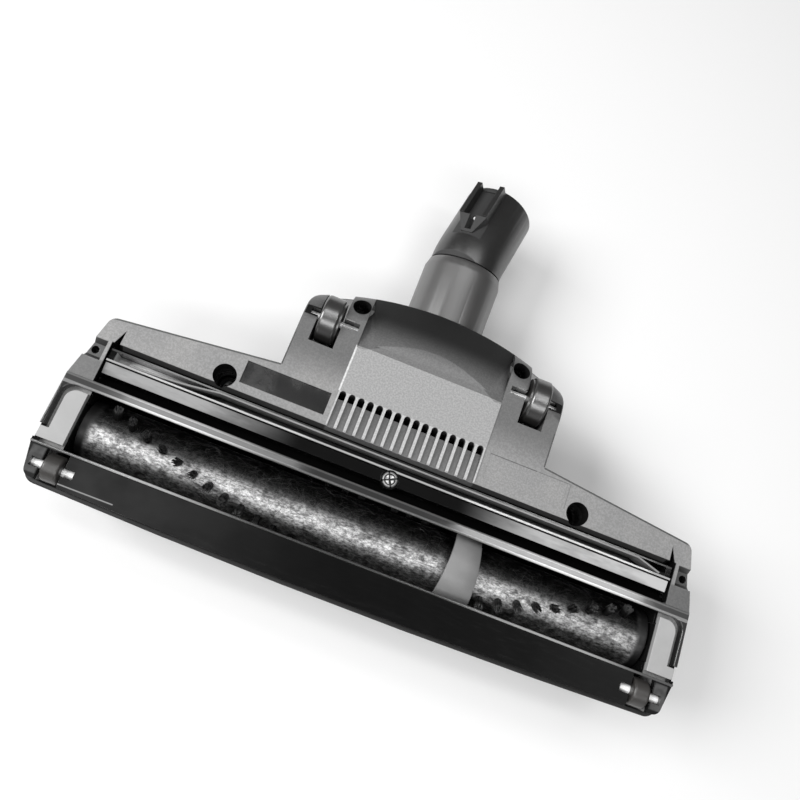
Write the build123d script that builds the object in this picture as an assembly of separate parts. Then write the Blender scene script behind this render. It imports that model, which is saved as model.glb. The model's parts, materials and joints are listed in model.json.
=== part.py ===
from build123d import *
import math
import os

# Turbo floor brush head, lying on its top cover with the sole facing up. Sizes are in millimetres.
# x runs across the head, y runs back from the front of the bumper, z runs up from the floor.

# Outline of the sole
sole_z = 58.0            # sole plane above the floor
half_width = 139.0       # half width at the front lip
bar_in = 0.6             # the ends of the rear bar lie this much further in
wing_in = 6.8            # and the rear corners of the wings
front_in = 3.0           # and the front corners
bar_half = half_width - bar_in
wing_half = half_width - wing_in
front_half = half_width - front_in
wing_rear_y = 76.1
pod_half = 60.6          # outer side of a wheel pod
pod_front_y = 84.3
pod_rear_y = 123.4       # where pod side and rear arc would meet
rear_y = 136.5           # rear edge on the middle line
front_y = 2.0            # front edge on the middle line
front_sag = 2.5          # the front corners lie this much further back
front_corner_r = 3.5
wing_corner_r = 4.0
pod_corner_r = 13.0
rear_round = 16.0        # rounding of the rear top edge
past = 5.0               # cuts reach this far beyond the solid

# Shells
wall = 2.4
plate = 2.5              # thickness of the base plate
part_z = 40.0            # parting plane of base and cover
ledge_z = 55.0           # seat of the sole frame
front_round = 36.0       # rounding of the cover's front
wing_round = 28.0        # rounding of the cover's wings at the rear
end_round = 20.0         # rounding of the cover's ends
hump_side_round = 16.0
hump_rear_round = 22.0
bumper_t = 2.0
bumper_z = (43.0, 51.0)
bumper_back_y = 27.0

# Front plate, window, bar, strip and trough of the sole frame
plate_front_y = 5.5
bevel_foot = 0.7
lip_y = 18.5             # front edge of the brush window
lip_rise = 0.7           # rounded rib along that edge
lip_w = 1.1
lip_round = 0.5
bar_front_y = 44.4       # rear edge of the brush window
bar_rear_y = 48.4
bead_rise = 0.9
arm_w = 2.0              # width of the bead's side arms
window_half = half_width - arm_w
window_corner_r = 5.0
arm_front_y = 25.5       # the side arms of the bead end here
gate_z = 56.2            # low rail that joins arms and front plate
gate_in = 3.0
groove_in = 11.4
groove_half = half_width - groove_in
groove_foot = 3.8        # the groove's front edge below the sole
groove_floor_z = 47.0
groove_rear_y = 64.4
ramp_y = 66.5            # top of the ramp behind the trough
ramp_z = 53.0            # foot of the ramp
strip_front_y = 53.2
crest_y = 59.3           # bright rear edge of the sloped strip
crest_z = 57.6
trough_rear_y = 63.4
trough_wall = 0.7
trough_floor_z = 48.6
strip_gap = 0.8          # end play of the strip in its groove
strip_half = groove_half - strip_gap
web = 1.3                # thickness of the web that joins bar and strip
web_rise = 2.3
crest_w = 0.8            # width of the raised line on the crest
strip_z = (55.7, 56.4)   # top of the strip at its front and rear edges
crest_cut = 2.4          # depth of the shadow line in front of the crest
trough_in = 2.4          # the trough's ends from the strip's ends
trough_half = strip_half - trough_in
trough_drop = 0.9        # the trough's rear wall below the crest

# Flexible lip
lip_t = 0.8
lip_top_z = 57.9
lip_play = 0.1
lip_bow = 0.7            # depth of the bow
lip_bow_len = 38.0       # the blade is bowed over this length at the left
lip_bend_len = 10.5      # and bent forward over this length at the right
lip_gap = (7.4, 2.9)     # the blade's ends from the trough's ends
lip_end_x = (lip_gap[0] - trough_half, trough_half - lip_gap[1])
lip_bow_x = lip_end_x[0] + lip_bow_len
lip_bend_x = lip_end_x[1] - lip_bend_len

# Brush roller
brush_y = 31.5
brush_z = 39.5
core_r = 13.0
tip_r = 19.5
tuft_w = 3.4
tuft_pitch = 7.6
tuft_depth = 2.5
tuft_first_x = 6.0
helix_start = -33.0      # angle of the outermost tuft, from straight up towards the front
helix_rate = 1.21        # degrees per millimetre
axle_r = 3.0
tunnel_r = 20.7
tunnel_wall = 1.6
belt_w = 7.0
belt_t = 1.5
belt_gap = 0.25
brush_pulley_r = 10.8
pulley_half = 4.6        # half width of the belt groove
opening_in = 3.0         # the tunnel's mouth is this much wider than the window
air_z = (-16.0, -4.0)    # air passage below the brush axis
belt_z = (-19.0, 4.0)    # belt passage beside it
belt_room = 1.5

# End caps that carry the brush bearings
pad_in = 10.1            # inner edge of a pad from the window's end
pad_gap = 2.0            # outer edge
pad_x = (window_half - pad_in, window_half - pad_gap)
pad_y = (20.0, 42.7)
pad_corner_r = 4.5
pad_drop = 0.3           # pads lie this much below the sole plane
pad_tongue = 0.6         # a pad's tongue ends this far inside the outline
tongue_gap = 0.8
leg_in = 0.7             # a leg's sides from the pad's sides
leg_out = 1.6
leg_x = (pad_x[0] + leg_in, pad_x[1] - leg_out)
leg_r = 8.0
leg_gap = 0.4
bearing_r = 5.5
fit_gap = 0.05           # running fit of shafts
core_gap = 0.9           # the roller ends this far from the pads
end_gap = 0.8            # and from the tunnel's end walls
core_half = pad_x[0] - core_gap
tunnel_half = core_half + end_gap
tuft_in = 12.0           # outermost tuft from the roller's end
tuft_last_x = core_half - tuft_in
axle_in = 0.9
axle_half = leg_x[1] - axle_in

# Belt cover
shield_r = 16.8
shield_t = 1.4
shield_w = (16.8, 10.0)  # width at the front and at the rear
shield_span = 62.0       # half angle of the arc

# Turbine
turbine_y = 73.0
turbine_z = 26.5
rotor_r = 16.0
rotor_half = 31.0
blade_count = 11
blade_t = 1.3
hub_r = 5.0
shaft_r = 2.5
duct_r = 17.0
duct_wall = 1.5
rotor_gap = 2.5          # side room of the rotor in its duct
duct_half = rotor_half + rotor_gap
belt_side = 6.0          # belt plane from the duct's wall
belt_x = duct_half + duct_wall + belt_side
shaft_over = 3.5         # the shaft's ends from the duct and from the belt plane
shaft_end = 4.5
shaft_x = (-duct_half - shaft_over, belt_x + shaft_end)
blade_bend = (1.8, 1.2)  # middle and tip of a blade from its straight line
disc_share = 0.7
flange_t = 0.8
inlet_in = 5.0
inlet_half = 6.0         # half height of the duct's inlet
inlet_gap = 0.5
outlet_z = (-11.0, 9.0)
drive_ratio = 2.4        # turbine turns for one brush turn
turbine_bearing_r = 4.5

# Neck drum, tube and connector
tilt_y = 114.5
tilt_z = 25.0
drum_r = 21.5
drum_half = 23.0
drum_wall = 2.2
trunnion_r = 9.0
saddle_x = (26.0, 29.0)
saddle_wall = 3.0
trunnion_play = 0.3
duct_z = 12.0            # half height of the drum's air inlet
neck_rest = 8.0          # upward tilt in the photographed position
neck_len = 54.0          # from the tilt axis to the seam
neck_r = 19.0
neck_bore_r = 16.5
neck_taper = (4.0, 1.1)  # length and depth of the shoulder
neck_gap = 1.1           # play of the tube in the housing
neck_sweep = 75.0        # downward travel that the cover leaves free
seam_gap = 0.7
elbow_bend = 18.5
elbow_stub = 4.0
elbow_r = 24.0
socket_len = 34.0
socket_r = 17.6
socket_bore_r = 16.0
socket_bore_len = 29.0
spigot_len = 16.0
spigot_wall = 1.8
swivel_rest = 57.0       # turn of the elbow in the photographed position
rail_turn = -84.0        # place of the rails round the socket
rail_gap = 9.4
rail_t = 2.4
rail_h = 4.0
rail_sink = 0.6          # the rails reach this far into the socket's wall
rail_span = (1.5, 21.5)  # from the rim
channel_floor = 0.7      # wall left under the channel between the rails
slit_w = 3.2
slit_end = 28.5
slit_len = 10.0
collar_wall = 1.3        # tapering wall round the slit's end
collar_h = (3.2, 0.4)    # its height above the socket at both ends
rim_len = 2.5
ring_w = 2.6
ring_depth = 1.2
ring_play = 0.2
ring_clear = 0.3         # between the ring and the bottom of the neck's groove

# Middle panel with its air slots
panel_half = 33.75
panel_rise = 0.5
panel_front_y = 66.9
slot_count = 16
slot_pitch = 4.2
slot_w = 2.9
slot_rear_y = 82.9
slot_hole_len = 3.6
crease_y = 104.3
crease_slope = 5.0       # degrees
crown_r = 180.0
crown_apex_y = 113.7
crown_slope = 18.6       # degrees
slot_step = 0.9          # depth of a slot at its front
slot_skin = 0.2

# Wheels
rear_wheel_r = 10.8
rear_wheel_w = 9.0
rear_hub_r = 6.8
rear_wheel_x = 48.6
rear_wheel_y = 111.7
rear_proud = 5.3
rear_pin_x = (35.8, 57.6)
rear_well_front_y = 98.5
pod_wall = 4.0
pod_side = 1.5           # the pod's inner wall from the panel
pod_sink = 2.0           # the well's floor reaches below the parting plane
tyre_round = 1.4
flange_w = 0.8           # rim of the hub beside the tyre
front_wheel_r = 5.8
front_wheel_w = 7.2
front_wheel_in = 12.3
front_wheel_x = half_width - front_wheel_in
front_wheel_round = 1.2
front_wheel_y = 10.5
front_proud = 2.0
front_pin_r = 1.8
front_pin_half = 9.0
front_pin_x = (front_wheel_x - front_pin_half, front_wheel_x + front_pin_half)
front_block = (2.0, 1.0, 10.0)  # solid round a front wheel: side, front and depth
rear_pin_r = 1.5
well_gap = 1.1
seat_gap = 0.05          # pins lie in their channels

# Screws and wells
wing_well = (80.1, 70.6)
wing_well_r = 5.0
pod_well = (38.0, 122.0)
pod_well_r = 4.0
well_wall = 1.6
well_floor_z = 34.0
well_floor_t = 3.0
screw_r = 1.9
screw_head_r = 3.5
screw_head_h = 2.4
screw_head_round = 1.0
screw_len = 16.0
cross_w = 0.9
sole_screw_y = 55.4
sole_boss_r = 4.2
sole_boss_len = 7.0      # post under the groove
sole_boss_step = 0.6
sole_screw_len = 10.0
sole_screw_drop = 4.0    # seat of its head below the crest
recess_depth = 0.6
left_recess = (-73.6, -36.0, 70.2, 80.2)
right_recess = (36.5, 72.4, 70.2, 81.4)
dip_in = 9.9
dip_x = half_width - dip_in
dip_y = (57.2, 66.0)
dip_depth = 2.8
dip_slope = (1.5, 2.0)
dip_hole_in = 5.7
dip_hole = (half_width - dip_hole_in, 61.2)
dip_hole_r = 1.6
dip_hole_len = 9.0
notch_in = 14.8          # tip of the notch at the groove's end
notch_tip = 6.5
notch_w = 3.2
head_play = 0.2
shank_play = 0.1
cross_depth = 1.2
cross_share = 0.65
post_wall = 1.0
eps = 0.02


def prism_x(points, x0, x1):
    outline = make_face(Plane.YZ * Polyline(*points, close=True))
    return Pos(x0, 0, 0) * extrude(outline, x1 - x0, dir=(1, 0, 0))


def prism_z(outline, z0, z1):
    return Pos(0, 0, z0) * extrude(outline, z1 - z0, dir=(0, 0, 1))


def block(x0, x1, y0, y1, z0, z1):
    return Pos((x0 + x1) / 2, (y0 + y1) / 2, (z0 + z1) / 2) * Box(x1 - x0, y1 - y0, z1 - z0)


def rod_x(radius, x0, x1, y, z):
    return Pos((x0 + x1) / 2, y, z) * Rot(0, 90, 0) * Cylinder(radius, x1 - x0)


def rod_y(radius, y0, y1):
    return Pos(0, (y0 + y1) / 2, 0) * Rot(-90, 0, 0) * Cylinder(radius, y1 - y0)


def rod_z(radius, x, y, z0, z1):
    return Pos(x, y, (z0 + z1) / 2) * Cylinder(radius, z1 - z0)


def mirrored(shape):
    return mirror(shape, about=Plane.YZ)


def both(shape):
    return shape + mirrored(shape)


def plan(inset=0.0):
    # Outline of the head seen on its sole, with its corners rounded.
    right = [
        (front_half, front_y + front_sag),
        (half_width, lip_y),
        (bar_half, bar_rear_y),
        (wing_half, wing_rear_y),
        (pod_half, pod_front_y),
        (pod_half, pod_rear_y),
    ]
    left = [(-x, y) for x, y in reversed(right)]
    curve = ThreePointArc(left[-1], (0, front_y), right[0]) + Polyline(*right)
    curve += ThreePointArc(right[-1], (0, rear_y), left[0]) + Polyline(*left)
    face = make_face(curve)
    if inset:
        face = offset(face, -inset, kind=Kind.INTERSECTION)
    for place, radius in ((0, front_corner_r), (3, wing_corner_r), (5, pod_corner_r)):
        if radius <= inset:
            continue
        x, y = right[place]
        corners = [v for v in face.vertices() if math.hypot(abs(v.X) - x, v.Y - y) < 2 * inset + eps]
        face = fillet(corners, radius - inset)
    return face


def rear_arc():
    # Radius and centre of the rear edge's arc.
    rise = rear_y - pod_rear_y
    radius = (pod_half ** 2 + rise ** 2) / (2 * rise)
    return radius, rear_y - radius


def rear_limit(inset):
    # Round disc whose edge rounds off the rear of the base.
    radius, centre_y = rear_arc()
    top = sole_z + panel_rise - inset
    disc = rod_z(radius - inset, 0, centre_y, 0, top)
    edge = disc.edges().filter_by(GeomType.CIRCLE).sort_by(Axis.Z)[-1]
    return fillet(edge, rear_round - inset)


def crown_waste(drop):
    # What lies above the sloping facet and the crowned rear of the middle panel.
    top = sole_z + panel_rise - drop
    far_y = rear_y + past
    fall = math.tan(math.radians(crease_slope))
    far_z = top - (far_y - crease_y) * fall
    facet = [(crease_y, top), (far_y, far_z), (far_y, top + past), (crease_y, top + past)]
    waste = prism_x(facet, -panel_half, panel_half)
    apex_z = top - (crown_apex_y - crease_y) * fall
    lane = block(-panel_half, panel_half, crease_y - 1, far_y, part_z, top + past)
    crown = Pos(0, crown_apex_y, apex_z) * Rot(-crown_slope, 0, 0)
    barrel = crown * Pos(0, 0, -crown_r) * rod_y(crown_r, -panel_half * 2, panel_half * 2)
    return waste + (lane - barrel)


def neck_frame():
    return Pos(0, tilt_y, tilt_z) * Rot(neck_rest, 0, 0)


def neck_lane():
    # Room that the tube needs from the resting position down through its travel.
    lane_r = neck_r + neck_gap
    reach = neck_len
    lane = neck_frame() * rod_y(lane_r, 0, reach)
    turns = 3
    for step in range(turns):
        turn = neck_rest - neck_sweep * (step + 1) / turns
        lane += Pos(0, tilt_y, tilt_z) * Rot(turn, 0, 0) * rod_y(lane_r, 0, reach)
    low = neck_rest - neck_sweep
    corners = [(0, 0)]
    for turn in (neck_rest, neck_rest - neck_sweep / 2, low):
        angle = math.radians(turn)
        corners.append((2 * reach * math.cos(angle), 2 * reach * math.sin(angle)))
    fan = [(tilt_y + y, tilt_z + z) for y, z in corners]
    return lane + prism_x(fan, -lane_r, lane_r)


def tunnel_shape(radius, half):
    return rod_x(radius, -half, half, brush_y, brush_z)


def screw_well_tube(place, radius):
    x, y = place
    return rod_z(radius + well_wall, x, y, well_floor_z - well_floor_t, sole_z - 1)


def screw_well_hole(place, radius):
    x, y = place
    well = rod_z(radius, x, y, well_floor_z, sole_z + past)
    return well + rod_z(screw_r + seat_gap, x, y, 0, sole_z)


rear_axle_z = sole_z + rear_proud - rear_wheel_r
front_axle_z = sole_z + front_proud - front_wheel_r
tunnel_out_r = tunnel_r + tunnel_wall


def pin_channel(pin_r, x0, x1, y, z):
    radius = pin_r + seat_gap
    return rod_x(radius, x0, x1, y, z) + block(x0, x1, y - radius, y + radius, z, sole_z + past)


def front_wheel_pocket():
    half = front_wheel_w / 2 + well_gap
    radius = front_wheel_r + well_gap
    y, z = front_wheel_y, front_axle_z
    pocket = rod_x(radius, front_wheel_x - half, front_wheel_x + half, y, z)
    pocket += block(front_wheel_x - half, front_wheel_x + half, -past, y + radius, z, sole_z + past)
    pocket += block(front_wheel_x - half, front_wheel_x + half, -past, y, z - radius, sole_z + past)
    return pocket + pin_channel(front_pin_r, *front_pin_x, y, z)


def rear_wheel_pocket():
    half = rear_wheel_w / 2 + well_gap
    floor_z = rear_axle_z - rear_wheel_r - well_gap
    sides = (rear_wheel_x - half, rear_wheel_x + half)
    pocket = block(*sides, rear_well_front_y, rear_y + past, floor_z, sole_z + past)
    return pocket + pin_channel(rear_pin_r, *rear_pin_x, rear_wheel_y, rear_axle_z)


def leg_slot():
    radius = leg_r + leg_gap
    sides = (tunnel_half - 1, leg_x[1] + leg_gap)
    slot = rod_x(radius, *sides, brush_y, brush_z)
    return slot + block(*sides, brush_y - radius, brush_y + radius, brush_z, sole_z)


def air_slots():
    # One tapering slot with its round through hole, repeated across the panel.
    top = sole_z + panel_rise
    hole_front = slot_rear_y - slot_hole_len
    deep = top - plate + slot_skin
    floor = [
        (groove_rear_y, top + 1),
        (groove_rear_y, top - slot_step),
        (panel_front_y, top - slot_step),
        (hole_front, deep),
        (hole_front + 1, deep),
        (hole_front + 1, top + 1),
    ]
    slots = Part()
    for index in range(slot_count):
        x = (index - (slot_count - 1) / 2) * slot_pitch
        slot = prism_x(floor, x - slot_w / 2, x + slot_w / 2)
        round_y = slot_rear_y - slot_w / 2
        slot += block(x - slot_w / 2, x + slot_w / 2, hole_front, round_y, top - 2 * plate, top + 1)
        slots += slot + rod_z(slot_w / 2, x, round_y, top - 2 * plate, top + 1)
    return slots


def base_housing():
    # Textured lower shell with tunnel, wheel pods, screw wells and the slotted panel.
    rear_zone = block(-pod_half - 1, pod_half + 1, pod_front_y, rear_y + 1, 0, sole_z + past)
    outer = prism_z(plan(), part_z, sole_z)
    outer = (outer - rear_zone) + ((outer & rear_zone) & rear_limit(panel_rise))
    panel_back_y = crease_y + plate
    panel = block(-panel_half, panel_half, panel_front_y, panel_back_y, sole_z - 1, sole_z + panel_rise)
    ceiling = [
        (-1, part_z - 1),
        (-1, ledge_z - plate),
        (strip_front_y, ledge_z - plate),
        (strip_front_y, groove_floor_z - plate),
        (ramp_y + trough_wall, groove_floor_z - plate),
        (ramp_y + trough_wall, sole_z - plate),
        (rear_y + 1, sole_z - plate),
        (rear_y + 1, part_z - 1),
    ]
    cavity = prism_z(plan(wall), part_z - 1, sole_z) & prism_x(ceiling, -half_width, half_width)
    cavity = (cavity - rear_zone) + ((cavity & rear_zone) & rear_limit(plate))
    cavity -= crown_waste(plate)
    shell = outer + panel - crown_waste(0) - cavity

    # Brush tunnel, solid at both ends round the bearing legs.
    end_x = bar_half - wall
    room = prism_z(plan(wall), 0, part_z) + prism_z(plan(), part_z, ledge_z)
    tunnel = tunnel_shape(tunnel_out_r, end_x) & room
    pod_y = (rear_well_front_y - pod_wall, rear_y)
    pod_block = block(panel_half + pod_side, pod_half - eps, *pod_y, part_z - pod_sink, sole_z - 1)
    pod_block &= outer + prism_z(plan(wall), part_z - pod_sink, part_z)
    side, front, depth = front_block
    wheel_block = block(front_pin_x[0] - side, half_width - side, front_y + front, lip_y,
                        ledge_z - depth, ledge_z)
    wheel_block &= outer
    shell += tunnel + both(pod_block) + both(wheel_block)
    shell += both(screw_well_tube(wing_well, wing_well_r))
    shell += both(screw_well_tube(pod_well, pod_well_r)) & rear_limit(panel_rise)
    post_z = (groove_floor_z - sole_boss_len, groove_floor_z)
    shell += rod_z(sole_boss_r - sole_boss_step, 0, sole_screw_y, *post_z)
    saddle_half = trunnion_r + saddle_wall
    saddle = block(*saddle_x, tilt_y - saddle_half, tilt_y + saddle_half, tilt_z, sole_z - plate)
    shell += both(saddle - crown_waste(plate / 2))

    # Seat of the sole frame, groove with its ramp, and the window.
    shell -= block(-half_width - past, half_width + past, -past, bar_rear_y, ledge_z, sole_z + past)
    groove = [
        (bar_rear_y - 1, sole_z + past),
        (bar_rear_y - 1, sole_z - groove_foot),
        (bar_rear_y, sole_z - groove_foot),
        (strip_front_y, groove_floor_z),
        (groove_rear_y, groove_floor_z),
        (groove_rear_y, ramp_z),
        (ramp_y, sole_z),
        (ramp_y, sole_z + past),
    ]
    shell -= prism_x(groove, -groove_half, groove_half)
    shell -= tunnel_shape(tunnel_r, tunnel_half)
    opening_y = (lip_y - opening_in, bar_front_y + opening_in)
    shell -= block(-tunnel_half, tunnel_half, *opening_y, brush_z, sole_z)
    shell -= both(block(tunnel_half - 1, pad_x[0], *opening_y, ledge_z - plate, sole_z))
    shell -= both(leg_slot())

    # Passages for the air and for the belt.
    passage_y = (brush_y, brush_y + 2 * tunnel_r)
    shell -= block(-duct_half, duct_half, *passage_y, brush_z + air_z[0], brush_z + air_z[1])
    belt_lane = belt_w / 2 + belt_room
    lane_x = (belt_x - belt_lane, belt_x + belt_lane)
    shell -= block(*lane_x, *passage_y, brush_z + belt_z[0], brush_z + belt_z[1])

    # Wheel wells, screw wells, neck, vents and small recesses.
    shell -= both(front_wheel_pocket() + rear_wheel_pocket())
    shell -= both(screw_well_hole(wing_well, wing_well_r) + screw_well_hole(pod_well, pod_well_r))
    shell -= rod_z(screw_r, 0, sole_screw_y, groove_floor_z - sole_boss_len - 1, sole_z)
    shell -= rod_x(trunnion_r + fit_gap, -saddle_x[1] - 1, saddle_x[1] + 1, tilt_y, tilt_z)
    shell -= neck_lane()
    shell -= rod_x(drum_r + neck_gap, -drum_half - neck_gap, drum_half + neck_gap, tilt_y, tilt_z)
    shell -= air_slots()
    for x0, x1, y0, y1 in (left_recess, right_recess):
        depth = recess_depth if x0 < 0 else recess_depth / 3
        shell -= block(x0, x1, y0, y1, sole_z - depth, sole_z + 1)
    dip = [
        (dip_y[0], sole_z + 1),
        (dip_y[0], sole_z - dip_depth / 2),
        (dip_y[0] + dip_slope[0], sole_z - dip_depth),
        (dip_y[1] - dip_slope[1], sole_z - dip_depth),
        (dip_y[1], sole_z),
        (dip_y[1], sole_z + 1),
    ]
    dip_cut = prism_x(dip, dip_x, half_width + past)
    dip_cut += rod_z(dip_hole_r, *dip_hole, sole_z - dip_hole_len, sole_z)
    notch = make_face(Polyline((groove_half, groove_rear_y), (half_width - notch_in, ramp_y + notch_tip),
                               (groove_half - notch_w, groove_rear_y), close=True))
    return shell - both(dip_cut + prism_z(notch, groove_floor_z, sole_z + 1))


def low_rounded(plane, span, floor_z, radii):
    # Upright outline with its two lower corners rounded, open space above it cut at the parting plane.
    a0, a1 = span
    r0, r1 = radii
    bend = 1 - math.sqrt(0.5)
    curve = Line((a0, part_z), (a0, floor_z + r0))
    curve += ThreePointArc((a0, floor_z + r0), (a0 + bend * r0, floor_z + bend * r0), (a0 + r0, floor_z))
    curve += Line((a0 + r0, floor_z), (a1 - r1, floor_z))
    curve += ThreePointArc((a1 - r1, floor_z), (a1 - bend * r1, floor_z + bend * r1), (a1, floor_z + r1))
    curve += Line((a1, floor_z + r1), (a1, part_z)) + Line((a1, part_z), (a0, part_z))
    return make_face(plane * curve)


def pulled(yz_face, xz_face):
    # Body whose side view and front view are the two outlines.
    along_x = Pos(-half_width - past, 0, 0) * extrude(yz_face, 2 * (half_width + past), dir=(1, 0, 0))
    along_y = Pos(0, rear_y + past, 0) * extrude(xz_face, rear_y + 2 * past, dir=(0, -1, 0))
    return along_x & along_y


def cover_form(inset):
    # Upper shell as a body: a long rounded bar across the front and a hump behind it.
    bar_span = (front_y + inset, pod_front_y + wall - inset)
    bar_yz = low_rounded(Plane.YZ, bar_span, inset, (front_round - inset, wing_round - inset))
    end_x = half_width - inset
    bar_xz = low_rounded(Plane.XZ, (-end_x, end_x), inset, (end_round - inset, end_round - inset))
    hump_span = (front_y + front_round, rear_y - inset)
    hump_yz = low_rounded(Plane.YZ, hump_span, inset, (eps, hump_rear_round - inset))
    side_x = pod_half - inset
    side_round = hump_side_round - inset
    hump_xz = low_rounded(Plane.XZ, (-side_x, side_x), inset, (side_round, side_round))
    body = pulled(bar_yz, bar_xz) + pulled(hump_yz, hump_xz)
    return body & prism_z(plan(inset), inset, part_z)


def top_cover():
    # Upper shell with screw posts and the lower halves of the neck's saddles.
    outside = cover_form(0)
    shell = outside - cover_form(wall)
    posts = Part()
    for place in (wing_well, pod_well):
        posts += rod_z(screw_head_r + post_wall, *place, wall, well_floor_z - well_floor_t)
    saddle_half = trunnion_r + saddle_wall
    saddle = block(*saddle_x, tilt_y - saddle_half, tilt_y + saddle_half, wall, tilt_z)
    shell += both(posts + saddle) & outside
    for place in (wing_well, pod_well):
        shell -= both(rod_z(screw_r, *place, well_floor_z - screw_len, part_z))
    shell -= rod_x(trunnion_r + fit_gap, -saddle_x[1] - 1, saddle_x[1] + 1, tilt_y, tilt_z)
    room = drum_half + neck_gap
    shell -= rod_x(drum_r + neck_gap, -room, room, tilt_y, tilt_z)
    return shell - neck_lane()


def sole_frame():
    # Glossy frame: front plate, bead round the window, sloped strip and the trough behind it.
    outline = prism_z(plan(), ledge_z, sole_z + bead_rise)
    bevel_z = sole_z + past
    bevel = [
        (-past, ledge_z - bevel_foot),
        (plate_front_y, sole_z),
        (plate_front_y, bevel_z),
        (-past, bevel_z),
    ]
    frame = outline & block(-half_width, half_width, 0, bar_rear_y, ledge_z, sole_z)
    frame -= prism_x(bevel, -half_width - past, half_width + past)
    lip = block(-half_width, half_width, lip_y - lip_w, lip_y, sole_z - 1, sole_z + lip_rise)
    lip = fillet(lip.edges().filter_by(Axis.X).sort_by(Axis.Z)[-2:], lip_round)
    bead = outline & block(-half_width, half_width, arm_front_y, bar_rear_y, sole_z - 1, sole_z + bead_rise)
    frame += (lip & outline) + bead
    opening = make_face(Polyline((-window_half, lip_y), (window_half, lip_y), (window_half, bar_front_y),
                                 (-window_half, bar_front_y), close=True))
    opening = fillet([v for v in opening.vertices() if v.Y > brush_y], window_corner_r)
    frame -= prism_z(opening, ledge_z - 1, sole_z + past)
    gate_x = (window_half - gate_in, half_width + past)
    gate = block(*gate_x, lip_y + lip_w, arm_front_y, gate_z, sole_z + past)
    frame -= both(gate)
    top = [e for e in frame.edges() if e.center().Z > sole_z + bead_rise - 0.01]
    frame = fillet(top, bead_rise * 0.8)

    foot = sole_z - groove_foot
    line_y = crest_y - crest_w
    strip = [
        (bar_rear_y - 1, foot),
        (bar_rear_y - 1, foot + web_rise),
        (bar_rear_y, foot + web_rise),
        (bar_rear_y + web, foot + web / 2),
        (strip_front_y, groove_floor_z + 2 * web),
        (strip_front_y, strip_z[0]),
        (line_y - crest_w * 0.75, strip_z[1]),
        (line_y - crest_w * 0.4, crest_z - crest_cut),
        (line_y, crest_z - crest_cut),
        (line_y, crest_z),
        (crest_y, crest_z),
        (crest_y, crest_z - trough_drop),
        (trough_rear_y + trough_wall, crest_z - trough_drop),
        (trough_rear_y + trough_wall, groove_floor_z),
        (strip_front_y, groove_floor_z),
        (bar_rear_y, foot),
    ]
    frame += prism_x(strip, -strip_half, strip_half)
    frame -= block(-trough_half, trough_half, crest_y, trough_rear_y, trough_floor_z, sole_z)
    boss_foot = crest_z - sole_boss_len - sole_boss_step
    frame += rod_z(sole_boss_r, 0, sole_screw_y, boss_foot, strip_z[1])
    frame -= rod_z(screw_head_r + head_play, 0, sole_screw_y, crest_z - sole_screw_drop, sole_z)
    frame -= rod_z(screw_r + shank_play, 0, sole_screw_y, groove_floor_z - 1, sole_z)
    return frame - both(front_wheel_pocket())


def rear_lip():
    # Thin blade standing in the trough: bowed forward at one end and bent forward at the other.
    near_y = crest_y + lip_t / 2 + lip_play
    far_y = trough_rear_y - lip_t / 2 - lip_play
    bow_mid = (lip_end_x[0] + lip_bow_len / 2, near_y + lip_bow)
    bow = ThreePointArc((lip_end_x[0], near_y), bow_mid, (lip_bow_x, far_y))
    path = bow + Polyline((lip_bow_x, far_y), (lip_bend_x, far_y), (lip_end_x[1], near_y))
    return prism_z(trace(path, lip_t), trough_floor_z, lip_top_z)


def end_cap():
    # Pale pad beside the window, with the leg that holds a brush bearing.
    pad = make_face(Polyline((pad_x[0], pad_y[0]), (pad_x[1], pad_y[0]), (pad_x[1], pad_y[1]),
                             (pad_x[0], pad_y[1]), close=True))
    pad = fillet([v for v in pad.vertices() if v.X > pad_x[0] + 1 and v.Y > brush_y], pad_corner_r)
    body = prism_z(pad, ledge_z, sole_z - pad_drop)
    tongue_y = (pad_y[0], arm_front_y - tongue_gap)
    body += block(pad_x[1] - 1, half_width - pad_tongue, *tongue_y, gate_z, sole_z - pad_drop)
    body += block(*leg_x, brush_y - leg_r, brush_y + leg_r, brush_z, ledge_z + 1)
    body += rod_x(leg_r, *leg_x, brush_y, brush_z)
    return body - rod_x(bearing_r, leg_x[0] - 1, leg_x[1] + 1, brush_y, brush_z)


def belt_cover():
    # Curved shield over the belt, narrower at the rear, with a foot at each end on the tunnel wall.
    def sector(r0, r1, span):
        side = 2 * r1 * math.sin(math.radians(span))
        rise = brush_z + 2 * r1 * math.cos(math.radians(span))
        peak = (brush_y, brush_z + 4 * r1)
        fan = [(brush_y, brush_z), (brush_y - side, rise), peak, (brush_y + side, rise)]
        x0, x1 = belt_x - shield_w[0], belt_x + shield_w[0]
        ring = rod_x(r1, x0, x1, brush_y, brush_z) - rod_x(r0, x0, x1, brush_y, brush_z)
        return ring & prism_x(fan, x0, x1)

    band = sector(shield_r, shield_r + shield_t, shield_span)
    foot_span = math.degrees(shield_t / shield_r)
    band += sector(shield_r, tunnel_r, shield_span) - sector(0, tunnel_r + 1, shield_span - foot_span)
    front, rear = (w / 2 for w in shield_w)
    y0, y1 = brush_y - tunnel_r, brush_y + tunnel_r
    shape = make_face(Polyline((belt_x - front, y0), (belt_x + front, y0), (belt_x + rear, y1),
                               (belt_x - rear, y1), close=True))
    return band & prism_z(shape, brush_z, sole_z)


def tuft_places():
    # Two V-shaped rows, half a turn apart, that leave the belt's lane free.
    places = []
    count = int((tuft_last_x - tuft_first_x) / tuft_pitch) + 1
    clear = shield_w[0] / 2 + tuft_w
    for side in (-1, 1):
        for index in range(count):
            x = side * (tuft_last_x - index * tuft_pitch)
            if abs(x - belt_x) < clear:
                continue
            angle = helix_start + helix_rate * index * tuft_pitch
            places += [(x, angle), (x, angle + 180)]
    return places


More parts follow.
